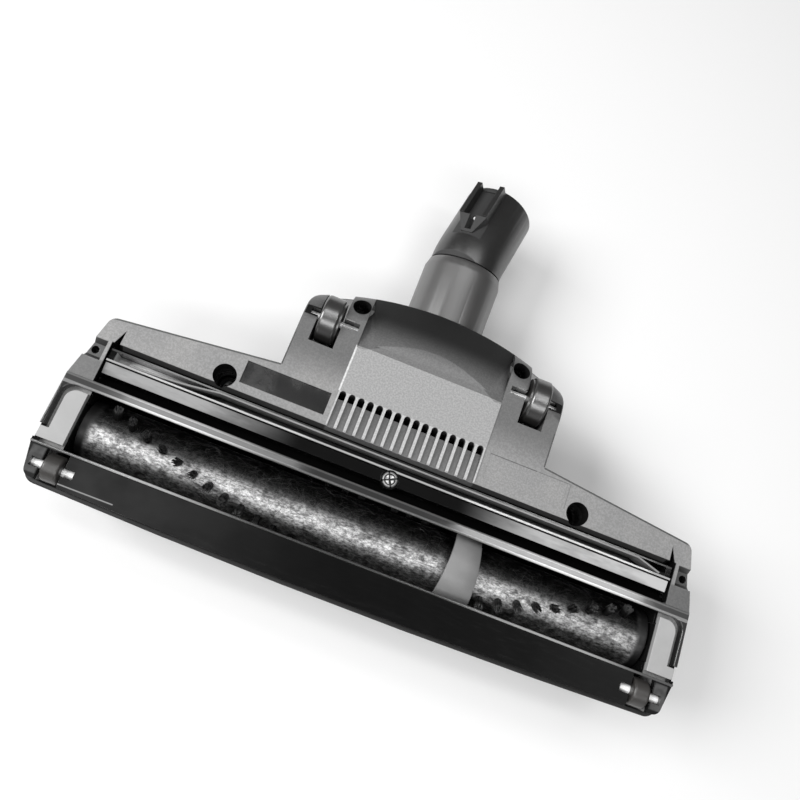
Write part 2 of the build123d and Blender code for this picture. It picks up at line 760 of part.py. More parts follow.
def tufts():
    stem = extrude(RegularPolygon(tuft_w / 2, 6), tip_r - core_r + tuft_depth, dir=(0, 0, 1))
    stem = Pos(0, 0, core_r - tuft_depth) * stem
    return [Pos(x, brush_y, brush_z) * Rot(angle, 0, 0) * stem for x, angle in tuft_places()]


def brush_core():
    core = rod_x(core_r, -core_half, core_half, brush_y, brush_z)
    lane = rod_x(core_r + 1, belt_x - pulley_half, belt_x + pulley_half, brush_y, brush_z)
    core -= lane - rod_x(brush_pulley_r, belt_x - pulley_half, belt_x + pulley_half, brush_y, brush_z)
    core -= rod_x(axle_r, -core_half - 1, core_half + 1, brush_y, brush_z)
    return core - tufts()


def turbine_pulley_r():
    return (brush_pulley_r + belt_t / 2) / drive_ratio - belt_t / 2


def drive_belt():
    def loop(extra):
        big = Pos(brush_y, brush_z) * Circle(brush_pulley_r + belt_gap + extra)
        small = Pos(turbine_y, turbine_z) * Circle(turbine_pulley_r() + belt_gap + extra)
        return make_hull(big.edges() + small.edges())

    band = Plane.YZ * (loop(belt_t) - loop(0))
    return Pos(belt_x - belt_w / 2, 0, 0) * extrude(band, belt_w, dir=(1, 0, 0))


def turbine_rotor():
    # Hub with curved blades between two end discs.
    middle, tip = blade_bend
    root_x, tip_x = hub_r - blade_t / 2, rotor_r - blade_t / 4
    blade_arc = ThreePointArc((root_x, 0), ((root_x + tip_x) / 2, -middle), (tip_x, tip))
    blade = Plane.YZ * trace(blade_arc, blade_t)
    blade = Pos(-rotor_half, 0, 0) * extrude(blade, 2 * rotor_half, dir=(1, 0, 0))
    rotor = rod_x(hub_r, -rotor_half, rotor_half, 0, 0)
    for index in range(blade_count):
        rotor += Rot(index * 360 / blade_count, 0, 0) * blade
    rotor += both(rod_x(rotor_r * disc_share, rotor_half - blade_t, rotor_half, 0, 0))
    rotor -= rod_x(shaft_r, -rotor_half - 1, rotor_half + 1, 0, 0)
    return Pos(0, turbine_y, turbine_z) * rotor


def turbine_pulley():
    radius = turbine_pulley_r()
    pulley = rod_x(radius, belt_x - pulley_half, belt_x + pulley_half, 0, 0)
    for side in (-1, 1):
        edge_x = belt_x + side * (pulley_half - flange_t / 2)
        pulley += rod_x(radius + belt_t, edge_x - flange_t / 2, edge_x + flange_t / 2, 0, 0)
    return Pos(0, turbine_y, turbine_z) * (pulley - rod_x(shaft_r, *shaft_x, 0, 0))


def turbine_housing():
    # Duct round the rotor, with its inlet under the air slots and its outlet towards the neck.
    half = duct_half + duct_wall
    out_r = duct_r + duct_wall
    y, z = turbine_y, turbine_z
    roof_z = sole_z - plate
    rear = slot_rear_y + 1
    front = ramp_y + trough_wall + inlet_gap
    body = rod_x(out_r, -half, half, y, z)
    body += block(-half, half, front, rear + duct_wall, z + duct_r / 2, roof_z)
    body -= rod_x(duct_r, -duct_half, duct_half, y, z)
    body -= block(-duct_half, duct_half, front + duct_wall, rear, z, roof_z + 1)
    inlet_x = duct_half - inlet_in
    body -= block(-inlet_x, inlet_x, y - out_r - 1, y - duct_r / 2, z - inlet_half, z + inlet_half)
    body -= block(-neck_bore_r, neck_bore_r, y + duct_r / 2, y + out_r + 1, z + outlet_z[0], z + outlet_z[1])
    return body - rod_x(turbine_bearing_r, -half - 1, half + 1, y, z)


def bearing(radius, bore_r, x0, x1, y, z):
    return rod_x(radius, x0, x1, y, z) - rod_x(bore_r + fit_gap, x0 - 1, x1 + 1, y, z)


def ring_span():
    # Place of the retaining ring along the neck.
    start = neck_len - spigot_len + ring_w
    return start, start + ring_w


def tilt_neck():
    # Hollow drum with trunnions, and the tube that the connector turns in.
    end_y = neck_len - seam_gap
    taper_len, taper_depth = neck_taper
    neck = rod_x(drum_r, -drum_half, drum_half, 0, 0)
    neck += rod_y(neck_r, 0, end_y - taper_len)
    cone = Rot(-90, 0, 0) * Cone(neck_r, neck_r - taper_depth, taper_len)
    neck += Pos(0, end_y - taper_len / 2, 0) * cone
    neck -= rod_x(drum_r - drum_wall, -drum_half + drum_wall, drum_half - drum_wall, 0, 0)
    neck -= rod_y(neck_bore_r, 0, neck_len + 1)
    neck -= block(-neck_bore_r, neck_bore_r, -drum_r - 1, 0, -duct_z, duct_z)
    neck += both(rod_x(trunnion_r, drum_half - 1, saddle_x[1] - trunnion_play, 0, 0))
    ring_y = ring_span()
    neck -= rod_y(neck_bore_r + ring_depth, ring_y[0] - ring_play, ring_y[1] + ring_play)
    return neck_frame() * neck


def swivel_frame():
    return neck_frame() * Pos(0, neck_len, 0) * Rot(0, swivel_rest, 0)


def mouth_frame():
    angle = math.radians(elbow_bend)
    reach = (socket_len * math.sin(angle), elbow_stub + socket_len * math.cos(angle), 0)
    return Pos(*reach) * Rot(0, 0, -elbow_bend)


def swivel_connector():
    # Bent socket with two rails beside the locking slot, and the spigot that turns in the neck.
    spigot_r = neck_bore_r - fit_gap * 2
    inner_r = spigot_r - spigot_wall
    end = mouth_frame().position
    path = FilletPolyline((0, 0, 0), (0, elbow_stub, 0), (end.X, end.Y, end.Z), radius=elbow_r)
    body = sweep(Plane.XZ * Circle(socket_r), path=path)
    near, far = rail_span
    side = rail_gap / 2 + rail_t
    top_z = socket_r + rail_h
    lug_z = math.sqrt(socket_r ** 2 - side ** 2) - rail_sink
    rail = block(rail_gap / 2, side, -far, -near, lug_z, top_z)
    tip, tip_y = slit_w / 2 + collar_wall, -slit_end - collar_wall
    collar = make_face(Polyline((-side, -far), (side, -far), (tip, tip_y), (-tip, tip_y), close=True))
    high, low = (socket_r + height for height in collar_h)
    collar_side = [(-far, lug_z), (-far, high), (tip_y, low), (tip_y, lug_z)]
    collar = prism_z(collar, lug_z, top_z) & prism_x(collar_side, -side, side)
    slot = block(-rail_gap / 2, rail_gap / 2, -far, -rim_len, socket_bore_r + channel_floor, top_z)
    slot += block(-slit_w / 2, slit_w / 2, -slit_end, slit_len - slit_end, 0, top_z)
    body += mouth_frame() * (Rot(0, rail_turn, 0) * (both(rail) + collar))
    body -= sweep(Plane.XZ * Circle(inner_r), path=path)
    body -= mouth_frame() * rod_y(socket_bore_r, -socket_bore_len, past)
    body -= mouth_frame() * (Rot(0, rail_turn, 0) * slot)
    spigot = rod_y(spigot_r, -spigot_len, eps) - rod_y(inner_r, -spigot_len - 1, 1)
    ring_y = ring_span()
    groove = rod_y(spigot_r + 1, ring_y[0] - neck_len, ring_y[1] - neck_len)
    spigot -= groove - rod_y(spigot_r - ring_depth, -spigot_len, 0)
    return swivel_frame() * (body + spigot)


def swivel_ring():
    ring_y = ring_span()
    inner_r = neck_bore_r - fit_gap * 2 - ring_depth
    ring = rod_y(neck_bore_r + ring_depth - ring_clear, *ring_y)
    return neck_frame() * (ring - rod_y(inner_r, ring_y[0] - 1, ring_y[1] + 1))


def rear_tyre(side):
    x0, x1 = rear_wheel_x - rear_wheel_w / 2, rear_wheel_x + rear_wheel_w / 2
    tyre = rod_x(rear_wheel_r, x0 + flange_w, x1, rear_wheel_y, rear_axle_z)
    tyre = fillet(tyre.edges().filter_by(GeomType.CIRCLE), tyre_round)
    tyre -= rod_x(rear_hub_r, x0, x1 + 1, rear_wheel_y, rear_axle_z)
    return tyre if side > 0 else mirrored(tyre)


def rear_wheel(side):
    x0, x1 = rear_wheel_x - rear_wheel_w / 2, rear_wheel_x + rear_wheel_w / 2
    hub = rod_x(rear_hub_r, x0 + flange_w, x1, rear_wheel_y, rear_axle_z)
    hub += rod_x(rear_wheel_r - tyre_round, x0, x0 + flange_w, rear_wheel_y, rear_axle_z)
    hub -= rod_x(rear_pin_r + fit_gap, x0 - 1, x1 + 1, rear_wheel_y, rear_axle_z)
    return hub if side > 0 else mirrored(hub)


def front_wheel(side):
    x0, x1 = front_wheel_x - front_wheel_w / 2, front_wheel_x + front_wheel_w / 2
    wheel = rod_x(front_wheel_r, x0, x1, front_wheel_y, front_axle_z)
    wheel = fillet(wheel.edges().filter_by(GeomType.CIRCLE), front_wheel_round)
    wheel -= rod_x(front_pin_r + fit_gap, x0 - 1, x1 + 1, front_wheel_y, front_axle_z)
    return wheel if side > 0 else mirrored(wheel)


def pin(pin_r, span, y, z, side):
    body = rod_x(pin_r, *span, y, z)
    return body if side > 0 else mirrored(body)


def screw(x, y, seat_z, length):
    # Cross-head screw with its head on the seat.
    body = rod_z(screw_head_r, x, y, seat_z, seat_z + screw_head_h)
    body = fillet(body.edges().filter_by(GeomType.CIRCLE).sort_by(Axis.Z)[-1], screw_head_round)
    body += rod_z(screw_r, x, y, seat_z - length, seat_z + eps)
    arm = screw_head_r * cross_share
    top = seat_z + screw_head_h
    body -= block(x - arm, x + arm, y - cross_w / 2, y + cross_w / 2, top - cross_depth, top + 1)
    return body - block(x - cross_w / 2, x + cross_w / 2, y - arm, y + arm, top - cross_depth, top + 1)


def housing_screws():
    length = screw_len - 1
    return [screw(side * x, y, well_floor_z, length) for x, y in (wing_well, pod_well) for side in (-1, 1)]


def front_bumper():
    band = offset(plan(), bumper_t, kind=Kind.INTERSECTION) - plan()
    side = half_width + bumper_t
    return prism_z(band, *bumper_z) & block(-side, side, -past, bumper_back_y, *bumper_z)


def all_parts():
    parts = {
        "base_housing": base_housing(),
        "sole_frame": sole_frame(),
        "top_cover": top_cover(),
        "front_bumper": front_bumper(),
        "rear_lip": rear_lip(),
        "belt_cover": belt_cover(),
        "drive_belt": drive_belt(),
        "brush_core": brush_core(),
        "bristle_tufts": tufts(),
        "brush_axle": rod_x(axle_r, -axle_half, axle_half, brush_y, brush_z),
        "turbine_housing": turbine_housing(),
        "turbine_rotor": turbine_rotor(),
        "turbine_shaft": rod_x(shaft_r, *shaft_x, turbine_y, turbine_z),
        "turbine_pulley": turbine_pulley(),
        "tilt_neck": tilt_neck(),
        "swivel_connector": swivel_connector(),
        "swivel_ring": swivel_ring(),
        "sole_screw": screw(0, sole_screw_y, crest_z - sole_screw_drop, sole_screw_len),
        "housing_screws": housing_screws(),
    }
    cap = end_cap()
    brush_bearing = bearing(bearing_r, axle_r, *leg_x, brush_y, brush_z)
    rotor_bearing = bearing(turbine_bearing_r, shaft_r, duct_half - duct_wall, duct_half + duct_wall,
                            turbine_y, turbine_z)
    for name, side in (("left", -1), ("right", 1)):
        parts["end_cap_" + name] = cap if side > 0 else mirrored(cap)
        parts["brush_bearing_" + name] = brush_bearing if side > 0 else mirrored(brush_bearing)
        parts["turbine_bearing_" + name] = rotor_bearing if side > 0 else mirrored(rotor_bearing)
        parts["rear_wheel_" + name] = rear_wheel(side)
        parts["rear_tyre_" + name] = rear_tyre(side)
        parts["rear_axle_" + name] = pin(rear_pin_r, rear_pin_x, rear_wheel_y, rear_axle_z, side)
        parts["front_wheel_" + name] = front_wheel(side)
        parts["front_axle_" + name] = pin(front_pin_r, front_pin_x, front_wheel_y, front_axle_z, side)
    return parts


def main():
    os.makedirs("parts", exist_ok=True)
    parts = all_parts()
    # The origin is the middle of the footprint, from the bumper to the connector's far rim.
    far_y = parts["swivel_connector"].bounding_box().max.Y
    to_origin = Pos(0, -(front_y - bumper_t + far_y) / 2, 0)
    for name, shape in parts.items():
        if isinstance(shape, list):
            placed = Compound([to_origin * item for item in shape])
        else:
            placed = to_origin * shape
        export_step(placed, "parts/" + name + ".step")


main()
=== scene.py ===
import json
import math
import random
import bmesh
import bpy
from mathutils import Matrix, Vector


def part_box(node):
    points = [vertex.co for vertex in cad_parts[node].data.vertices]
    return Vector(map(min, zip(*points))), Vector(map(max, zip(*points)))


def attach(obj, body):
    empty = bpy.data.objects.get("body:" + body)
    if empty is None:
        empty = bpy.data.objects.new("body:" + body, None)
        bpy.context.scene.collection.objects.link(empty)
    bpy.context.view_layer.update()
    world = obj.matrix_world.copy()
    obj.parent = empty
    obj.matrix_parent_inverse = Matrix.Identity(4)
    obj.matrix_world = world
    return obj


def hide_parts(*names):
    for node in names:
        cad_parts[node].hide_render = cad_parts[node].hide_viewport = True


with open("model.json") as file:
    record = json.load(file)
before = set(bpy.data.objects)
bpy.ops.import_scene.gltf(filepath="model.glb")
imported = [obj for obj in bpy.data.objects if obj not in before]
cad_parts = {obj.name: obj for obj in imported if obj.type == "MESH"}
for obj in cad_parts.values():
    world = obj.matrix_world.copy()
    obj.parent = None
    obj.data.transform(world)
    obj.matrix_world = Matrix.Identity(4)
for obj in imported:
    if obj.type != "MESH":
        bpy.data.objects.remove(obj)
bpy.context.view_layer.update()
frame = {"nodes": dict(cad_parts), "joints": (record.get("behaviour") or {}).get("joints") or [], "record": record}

nodes = frame["nodes"]
jointPlace = {j["name"]: Vector(j["pos_m"]) for j in frame["joints"]}
brushAxis = jointPlace["brush_spin"]
mm = 0.001
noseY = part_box("front_bumper")[0].y      # front of the bumper: sizes along the head count from here
print("frame loaded:", len(nodes), "nodes")


# small helpers for shader trees
def put(tree, kind, inputs=None, **props):
    made = tree.nodes.new(kind)
    for name, value in props.items():
        setattr(made, name, value)
    for name, value in (inputs or {}).items():
        made.inputs[name].default_value = value
    return made


def join(tree, fromSocket, toSocket):
    tree.links.new(fromSocket, toSocket)


def emptyMaterial(name):
    made = bpy.data.materials.new(name)
    made.use_nodes = True
    tree = made.node_tree
    tree.nodes.clear()
    shader = put(tree, "ShaderNodeBsdfPrincipled")
    out = put(tree, "ShaderNodeOutputMaterial")
    join(tree, shader.outputs["BSDF"], out.inputs["Surface"])
    return made, tree, shader


def grey(value, warm=0.0):
    return (value * (1 + warm), value, value * (1 - warm), 1.0)


def objectPlace(tree, stretch=(1, 1, 1)):
    coord = put(tree, "ShaderNodeTexCoord")
    if stretch == (1, 1, 1):
        return coord.outputs["Object"]
    scaled = put(tree, "ShaderNodeVectorMath", operation="MULTIPLY")
    scaled.inputs[1].default_value = stretch
    join(tree, coord.outputs["Object"], scaled.inputs[0])
    return scaled.outputs["Vector"]


def axes(tree):
    split = put(tree, "ShaderNodeSeparateXYZ")
    join(tree, objectPlace(tree), split.inputs["Vector"])
    return split.outputs["X"], split.outputs["Y"], split.outputs["Z"]


def noise(tree, scale, detail=3.0, rough=0.55, stretch=(1, 1, 1)):
    made = put(tree, "ShaderNodeTexNoise", {"Scale": scale, "Detail": detail, "Roughness": rough})
    join(tree, objectPlace(tree, stretch), made.inputs["Vector"])
    return made.outputs["Fac"]


def remap(tree, socket, low, high, toLow=0.0, toHigh=1.0, smooth=True):
    spans = {"From Min": low, "From Max": high, "To Min": toLow, "To Max": toHigh}
    made = put(tree, "ShaderNodeMapRange", spans)
    made.interpolation_type = "SMOOTHSTEP" if smooth else "LINEAR"
    join(tree, socket, made.inputs["Value"])
    return made.outputs["Result"]


def maths(tree, operation, a, b=0.0):
    made = put(tree, "ShaderNodeMath", operation=operation)
    for place, value in enumerate((a, b)):
        if isinstance(value, (int, float)):
            made.inputs[place].default_value = value
        else:
            join(tree, value, made.inputs[place])
    return made.outputs["Value"]


def times(tree, a, b):
    return maths(tree, "MULTIPLY", a, b)


def distance(tree, a, b):
    squares = maths(tree, "ADD", maths(tree, "POWER", a, 2.0), maths(tree, "POWER", b, 2.0))
    return maths(tree, "SQRT", squares)


def blendColour(tree, factor, first, second):
    made = put(tree, "ShaderNodeMix", data_type="RGBA")
    join(tree, factor, made.inputs["Factor"])
    for name, value in (("A", first), ("B", second)):
        socket = [s for s in made.inputs if s.name == name and s.type == "RGBA"][0]
        if isinstance(value, tuple):
            socket.default_value = value
        else:
            join(tree, value, socket)
    return [s for s in made.outputs if s.type == "RGBA"][0]


# masks: 1 where they hold and 0 elsewhere, with a soft edge in metres
def above(tree, socket, edge, soft):
    return remap(tree, socket, edge - soft, edge + soft)


def below(tree, socket, edge, soft):
    return remap(tree, socket, edge - soft, edge + soft, 1.0, 0.0)


def between(tree, socket, low, high, soft):
    return times(tree, above(tree, socket, low, soft), below(tree, socket, high, soft))


def insideBox(tree, x, y, z, soft):
    # y counts from the nose, and None leaves an axis open
    found = None
    for place, span, start in zip(axes(tree), (x, y, z), (0.0, noseY, 0.0)):
        if span is None:
            continue
        both = between(tree, place, span[0] + start, span[1] + start, soft)
        found = both if found is None else times(tree, found, both)
    return found


def insideBoth(tree, x, y, z, soft):
    # the same box on the left and on the right
    left = insideBox(tree, (-x[1], -x[0]), y, z, soft)
    return maths(tree, "MAXIMUM", left, insideBox(tree, x, y, z, soft))


def insideTube(tree, place, radius, top, soft):
    # an upright round hole below its rim, on the left and on the right
    x, y, z = axes(tree)
    across = maths(tree, "SUBTRACT", maths(tree, "ABSOLUTE", x), place[0])
    along = maths(tree, "SUBTRACT", y, place[1] + noseY)
    near = below(tree, distance(tree, across, along), radius, soft)
    return times(tree, near, below(tree, z, top, soft))


def anyOf(tree, masks):
    found = masks[0]
    for mask in masks[1:]:
        found = maths(tree, "MAXIMUM", found, mask)
    return found


def patchy(tree, mask, texture, low, high, least):
    # thins a mask to its least share where the texture is low
    return times(tree, mask, remap(tree, texture, low, high, least, 1.0))


def paintZones(tree, colour, zones, inside=insideBox):
    for tone, *zone in zones.values():
        colour = blendColour(tree, inside(tree, *zone), colour, grey(tone))
    return colour


# surface detail that several finishes share
surfaceSettings = {
    "cloudSize": 60, "cloudSpan": (0.3, 0.7), "plasticSpread": (0.85, 1.12),
    "streakSize": 160, "streakSpan": (0.35, 0.75), "streakStretch": (1.0, 6.0, 6.0),
    "grainStrength": 0.8,
    "rippleSize": 220, "rippleDepth": 0.00002, "plasticRipple": 0.35,
    "lineSize": 900, "lineStretch": (1.0, 12.0, 12.0), "lineSpan": (0.3, 0.7),
    "lineScuff": 0.12, "lineDepth": 0.000004, "lineStrength": 0.3,
}


def clouded(tree, size, detail, dark, pale):
    cloud = remap(tree, noise(tree, size, detail), *surfaceSettings["cloudSpan"])
    return blendColour(tree, cloud, dark, pale)


def bumpInto(tree, shader, height, depth, strength):
    made = put(tree, "ShaderNodeBump", {"Strength": strength, "Distance": depth})
    join(tree, height, made.inputs["Height"])
    join(tree, made.outputs["Normal"], shader.inputs["Normal"])


def grained(tree, shader, size, depth):
    # fine moulded grain
    bumpInto(tree, shader, noise(tree, size, 2.0, 0.6), depth, surfaceSettings["grainStrength"])


def rippled(tree, shader, strength):
    # slight waves of a smooth moulded face
    s = surfaceSettings
    bumpInto(tree, shader, noise(tree, s["rippleSize"], 2.0, 0.5), s["rippleDepth"], strength)


def scuffed(tree, shader, rough, scuff, stretch=surfaceSettings["streakStretch"]):
    # long faint scuffs in the gloss
    s = surfaceSettings
    streak = noise(tree, s["streakSize"], 4, 0.6, stretch)
    join(tree, remap(tree, streak, *s["streakSpan"], rough, rough + scuff), shader.inputs["Roughness"])


# finishes
shellSettings = {
    "plate": 0.225, "plateSpread": (0.92, 1.06), "plateWarm": 0.01, "cloudSize": 45,
    "pods": 0.38, "podShadeFall": (0.078, 0.098),       # painted shade: the pods fall to this share of the plate's tone, reached between these y
    "rough": 0.46, "polished": 0.12, "specular": 0.8,
    "grainSize": 1300, "grainDepth": 0.00005, "polishedGrain": 0.05,
    "speckSpan": (0.40, 0.64), "speck": (0.86, 1.15),
    # painted boxes: tone, x, y from the nose, z, soft edge
    "frontPaint": {
        # painted shade on the sloped ramp before the wings and on a narrow strip of the wings' top
        "rampShade": (0.035, (-0.1276, 0.1276), (0.0640, 0.0673), (0.0500, 0.05785), 0.0001),
    },
    "endPaint": {
        "endBlock": (0.09, (0.1274, 0.1400), (0.0470, 0.0574), (0.0500, 0.0590), 0.0008),
        # painted shade on the floor of the dip
        "dipShade": (0.035, (0.1289, 0.1400), (0.0570, 0.0662), (0.0500, 0.05785), 0.0002),
    },
    "platePaint": {
        "panel": (0.28, (-0.03375, 0.03375), (0.0666, 0.1043), (0.0575, 0.0600), 0.00005),
        # painted highlight on the tops of the vent ribs
        "ribTopHighlight": (0.42, (-0.0336, 0.0336), (0.0660, 0.0826), (0.0578, 0.0600), 0.00008),
        # painted highlight along the panel's left edge
        "panelEdgeHighlight": (0.60, (-0.0341, -0.0333), (0.0826, 0.1043), (0.0578, 0.0600), 0.00008),
        "seam": (0.06, (0.0365, 0.0580), (0.08125, 0.08155), (0.0570, 0.0590), 0.00008),
        "faintSeamRear": (0.135, (0.0590, 0.0738), (0.08125, 0.08160), (0.0570, 0.0590), 0.0001),
        "faintSeamSide": (0.135, (0.0736, 0.07395), (0.0706, 0.0816), (0.0570, 0.0590), 0.0001),
    },
    "middlePaint": {
        # painted shade on the floors of the vent slots
        "slotFloorShade": (0.095, (-0.0336, 0.0336), (0.0640, 0.0830), (0.0500, 0.05795), 0.0001),
        # painted shade on the lens, where the face curves down
        "lens": (0.125, (-0.0338, 0.0338), (0.1044, 0.1400), (0.045, 0.0590), 0.00005),
    },
    # painted shade on the edges of the wings and wheel pods
    "rim": 0.03,
    "rims": {
        "wing": ((0.0605, 0.1400), (0.0600, 0.0860), (0.0500, 0.05756), 0.00006),
        "pod": ((0.0590, 0.0620), (0.0845, 0.0960), (0.0500, 0.05750), 0.00006),
        "podOutline": ((0.0600, 0.0620), (0.0842, 0.1000), (0.0560, 0.0590), 0.00005),
    },
    "wingRear": (0.1138, 0.9935, 0.09065),         # line of the wings' rear edge: across, along, reach
    "wingOutline": 0.0007, "wingOutlineSoft": 0.00005,
    "wingOutlineBox": ((0.0606, 0.1330), None, (0.0560, 0.0590), 0.0001),
    # smeared black recess on the left
    "recess": 0.012, "recessBox": ((-0.0737, -0.0359), (0.0701, 0.0803), (0.0560, 0.0577), 0.00005),
    "smearSize": 75, "smearSpan": (0.42, 0.68), "smear": (0.6, 3.0),
    # painted shade darkening the crown of the rear lens towards the rear
    "crown": 0.003, "crownFall": (0.107, 0.124),
    "crownBox": ((-0.0338, 0.0338), None, (0.045, 0.0579), 0.0001),
    # painted shade on the insides: wells by place and radius, and hollows by box
    "inside": 0.006, "wellTop": 0.0577, "wellSoft": 0.00015,
    "wells": (((0.0801, 0.0706), 0.0051), ((0.038, 0.122), 0.0041), ((0.1333, 0.0612), 0.0017)),
    "shadedHollows": {
        "wheelWell": ((0.0433, 0.0539), (0.0980, 0.1300), (0.030, 0.0566), 0.0003),
        "pinSeat": ((0.0385, 0.0602), (0.1094, 0.1140), (0.030, 0.0600), 0.0002),
        "endGroove": ((0.1232, 0.1280), (0.0490, 0.0735), (0.030, 0.0574), 0.0002),
    },
    "deepBox": (None, None, (-0.1, 0.0546), 0.0004),
    "brushRoomBox": ((-0.1275, 0.1275), (0.012, 0.0655), None, 0.0005),
}


def wingOutline(tree, x, y):
    # a narrow line of painted shade just inside the slanted rear edge of the wings
    s = shellSettings
    across, along, reach = s["wingRear"]
    slant = times(tree, maths(tree, "ABSOLUTE", x), across)
    slant = maths(tree, "ADD", slant, times(tree, y, along))
    edge = reach + along * noseY - s["wingOutline"]
    line = above(tree, slant, edge, s["wingOutlineSoft"])
    return times(tree, line, insideBoth(tree, *s["wingOutlineBox"]))


def texturedShell():
    s = shellSettings
    made, tree, shader = emptyMaterial("texturedShell")
    x, y = axes(tree)[:2]
    dark, pale = (s["plate"] * share for share in s["plateSpread"])
    colour = clouded(tree, s["cloudSize"], 4, grey(dark), grey(pale, s["plateWarm"]))
    # painted shade: the wheel pods darken towards the rear
    podShadeFall = remap(tree, y, noseY + s["podShadeFall"][0], noseY + s["podShadeFall"][1])
    colour = blendColour(tree, podShadeFall, colour, grey(s["plate"] * s["pods"]))
    # painted shade on the front ramp
    colour = paintZones(tree, colour, s["frontPaint"])
    # the end blocks' tone, and painted shade in the dips
    colour = paintZones(tree, colour, s["endPaint"], insideBoth)
    # painted shade along the edges of the wings and wheel pods
    rims = [insideBoth(tree, *box) for box in s["rims"].values()]
    rims.append(wingOutline(tree, x, y))
    colour = blendColour(tree, anyOf(tree, rims), colour, grey(s["rim"]))
    # the panel's tone, painted highlights on the rib tops and the panel's edge, and the seams
    colour = paintZones(tree, colour, s["platePaint"])

    recessMask = insideBox(tree, *s["recessBox"])
    smear = remap(tree, noise(tree, s["smearSize"], 3, 0.6), *s["smearSpan"])
    bare, smeared = (s["recess"] * share for share in s["smear"])
    recess = blendColour(tree, smear, grey(bare), grey(smeared))
    colour = blendColour(tree, recessMask, colour, recess)
    # painted shade on the slot floors and on the lens
    colour = paintZones(tree, colour, s["middlePaint"])
    # painted shade: the crown darkens towards the rear
    crownFall = remap(tree, y, noseY + s["crownFall"][0], noseY + s["crownFall"][1])
    crownMask = times(tree, crownFall, insideBox(tree, *s["crownBox"]))
    colour = blendColour(tree, crownMask, colour, grey(s["crown"]))

    # painted shade in the wells, the hollows and the deep brush room
    shadedHollows = [insideTube(tree, *well, s["wellTop"], s["wellSoft"]) for well in s["wells"]]
    shadedHollows += [insideBoth(tree, *box) for box in s["shadedHollows"].values()]
    shadedHollows.append(times(tree, insideBox(tree, *s["deepBox"]), insideBox(tree, *s["brushRoomBox"])))
    hollowShadeMask = anyOf(tree, shadedHollows)
    colour = blendColour(tree, hollowShadeMask, colour, grey(s["inside"]))

    grain = noise(tree, s["grainSize"], 2.0, 0.6)
    speck = remap(tree, grain, *s["speckSpan"], *s["speck"], smooth=False)
    speckled = put(tree, "ShaderNodeVectorMath", operation="SCALE")
    join(tree, colour, speckled.inputs[0])
    join(tree, speck, speckled.inputs["Scale"])
    join(tree, speckled.outputs["Vector"], shader.inputs["Base Color"])
    smoothMask = maths(tree, "MAXIMUM", recessMask, hollowShadeMask)
    rough = remap(tree, smoothMask, 0.0, 1.0, s["rough"], s["polished"], smooth=False)
    join(tree, rough, shader.inputs["Roughness"])
    shader.inputs["Specular IOR Level"].default_value = s["specular"]
    share = remap(tree, smoothMask, 0.0, 1.0, 1.0, s["polishedGrain"], smooth=False)
    bumpInto(tree, shader, times(tree, grain, share), s["grainDepth"], surfaceSettings["grainStrength"])
    return made


# plain mouldings: grain is its size and depth, and without it the face only ripples
plasticSettings = {
    "cover": {"name": "coverBlack", "tone": 0.020, "rough": 0.22, "scuff": 0.12},
    "bumper": {
        "name": "bumperRubber", "tone": 0.012, "rough": 0.45, "specular": 0.4, "grain": (1800, 0.00003),
    },
    "lip": {"name": "lipRubber", "tone": 0.20, "rough": 0.30, "specular": 0.8, "grain": (900, 0.00003)},
    "beltCover": {
        "name": "beltCoverGrey", "tone": 0.175, "rough": 0.40, "specular": 0.6, "grain": (1500, 0.00004),
    },
    "rubber": {"name": "beltRubber", "tone": 0.012, "rough": 0.55, "specular": 0.3, "grain": (1200, 0.00004)},
    "bush": {"name": "bushBrass", "tone": 0.25, "rough": 0.35, "warm": 0.3},
    "turbine": {"name": "turbineGrey", "tone": 0.12, "rough": 0.45},
    "wheel": {
        "name": "wheelGrey", "tone": 0.020, "rough": 0.30, "specular": 1.0, "warm": 0.05,
        "scuff": 0.05, "grain": (1500, 0.000006), "ior": 1.6,
    },
    "frontWheel": {
        "name": "frontWheelDark", "tone": 0.034, "rough": 0.34, "specular": 0.7, "warm": 0.06,
        "grain": (1500, 0.00001),
    },
    "tyre": {
        "name": "tyreRubber", "tone": 0.012, "rough": 0.29, "specular": 1.0, "warm": 0.05,
        "scuff": 0.05, "grain": (1300, 0.000006), "ior": 1.8,
    },
    "neck": {
        "name": "neckGrey", "tone": 0.030, "rough": 0.38, "specular": 1.0, "warm": 0.03,
        "scuff": 0.03, "grain": (1700, 0.000006), "ior": 1.85,
    },
}


def smoothPlastic(name, tone, rough, specular=0.5, warm=0.0, scuff=0.15, grain=None, ior=1.5):
    s = surfaceSettings
    made, tree, shader = emptyMaterial(name)
    dark, pale = (grey(tone * share, warm) for share in s["plasticSpread"])
    colour = clouded(tree, s["cloudSize"], 5, dark, pale)
    join(tree, colour, shader.inputs["Base Color"])
    scuffed(tree, shader, rough, scuff)
    shader.inputs["Specular IOR Level"].default_value = specular
    shader.inputs["IOR"].default_value = ior
    if grain:
        grained(tree, shader, *grain)
    else:
        rippled(tree, shader, s["plasticRipple"])
    return made


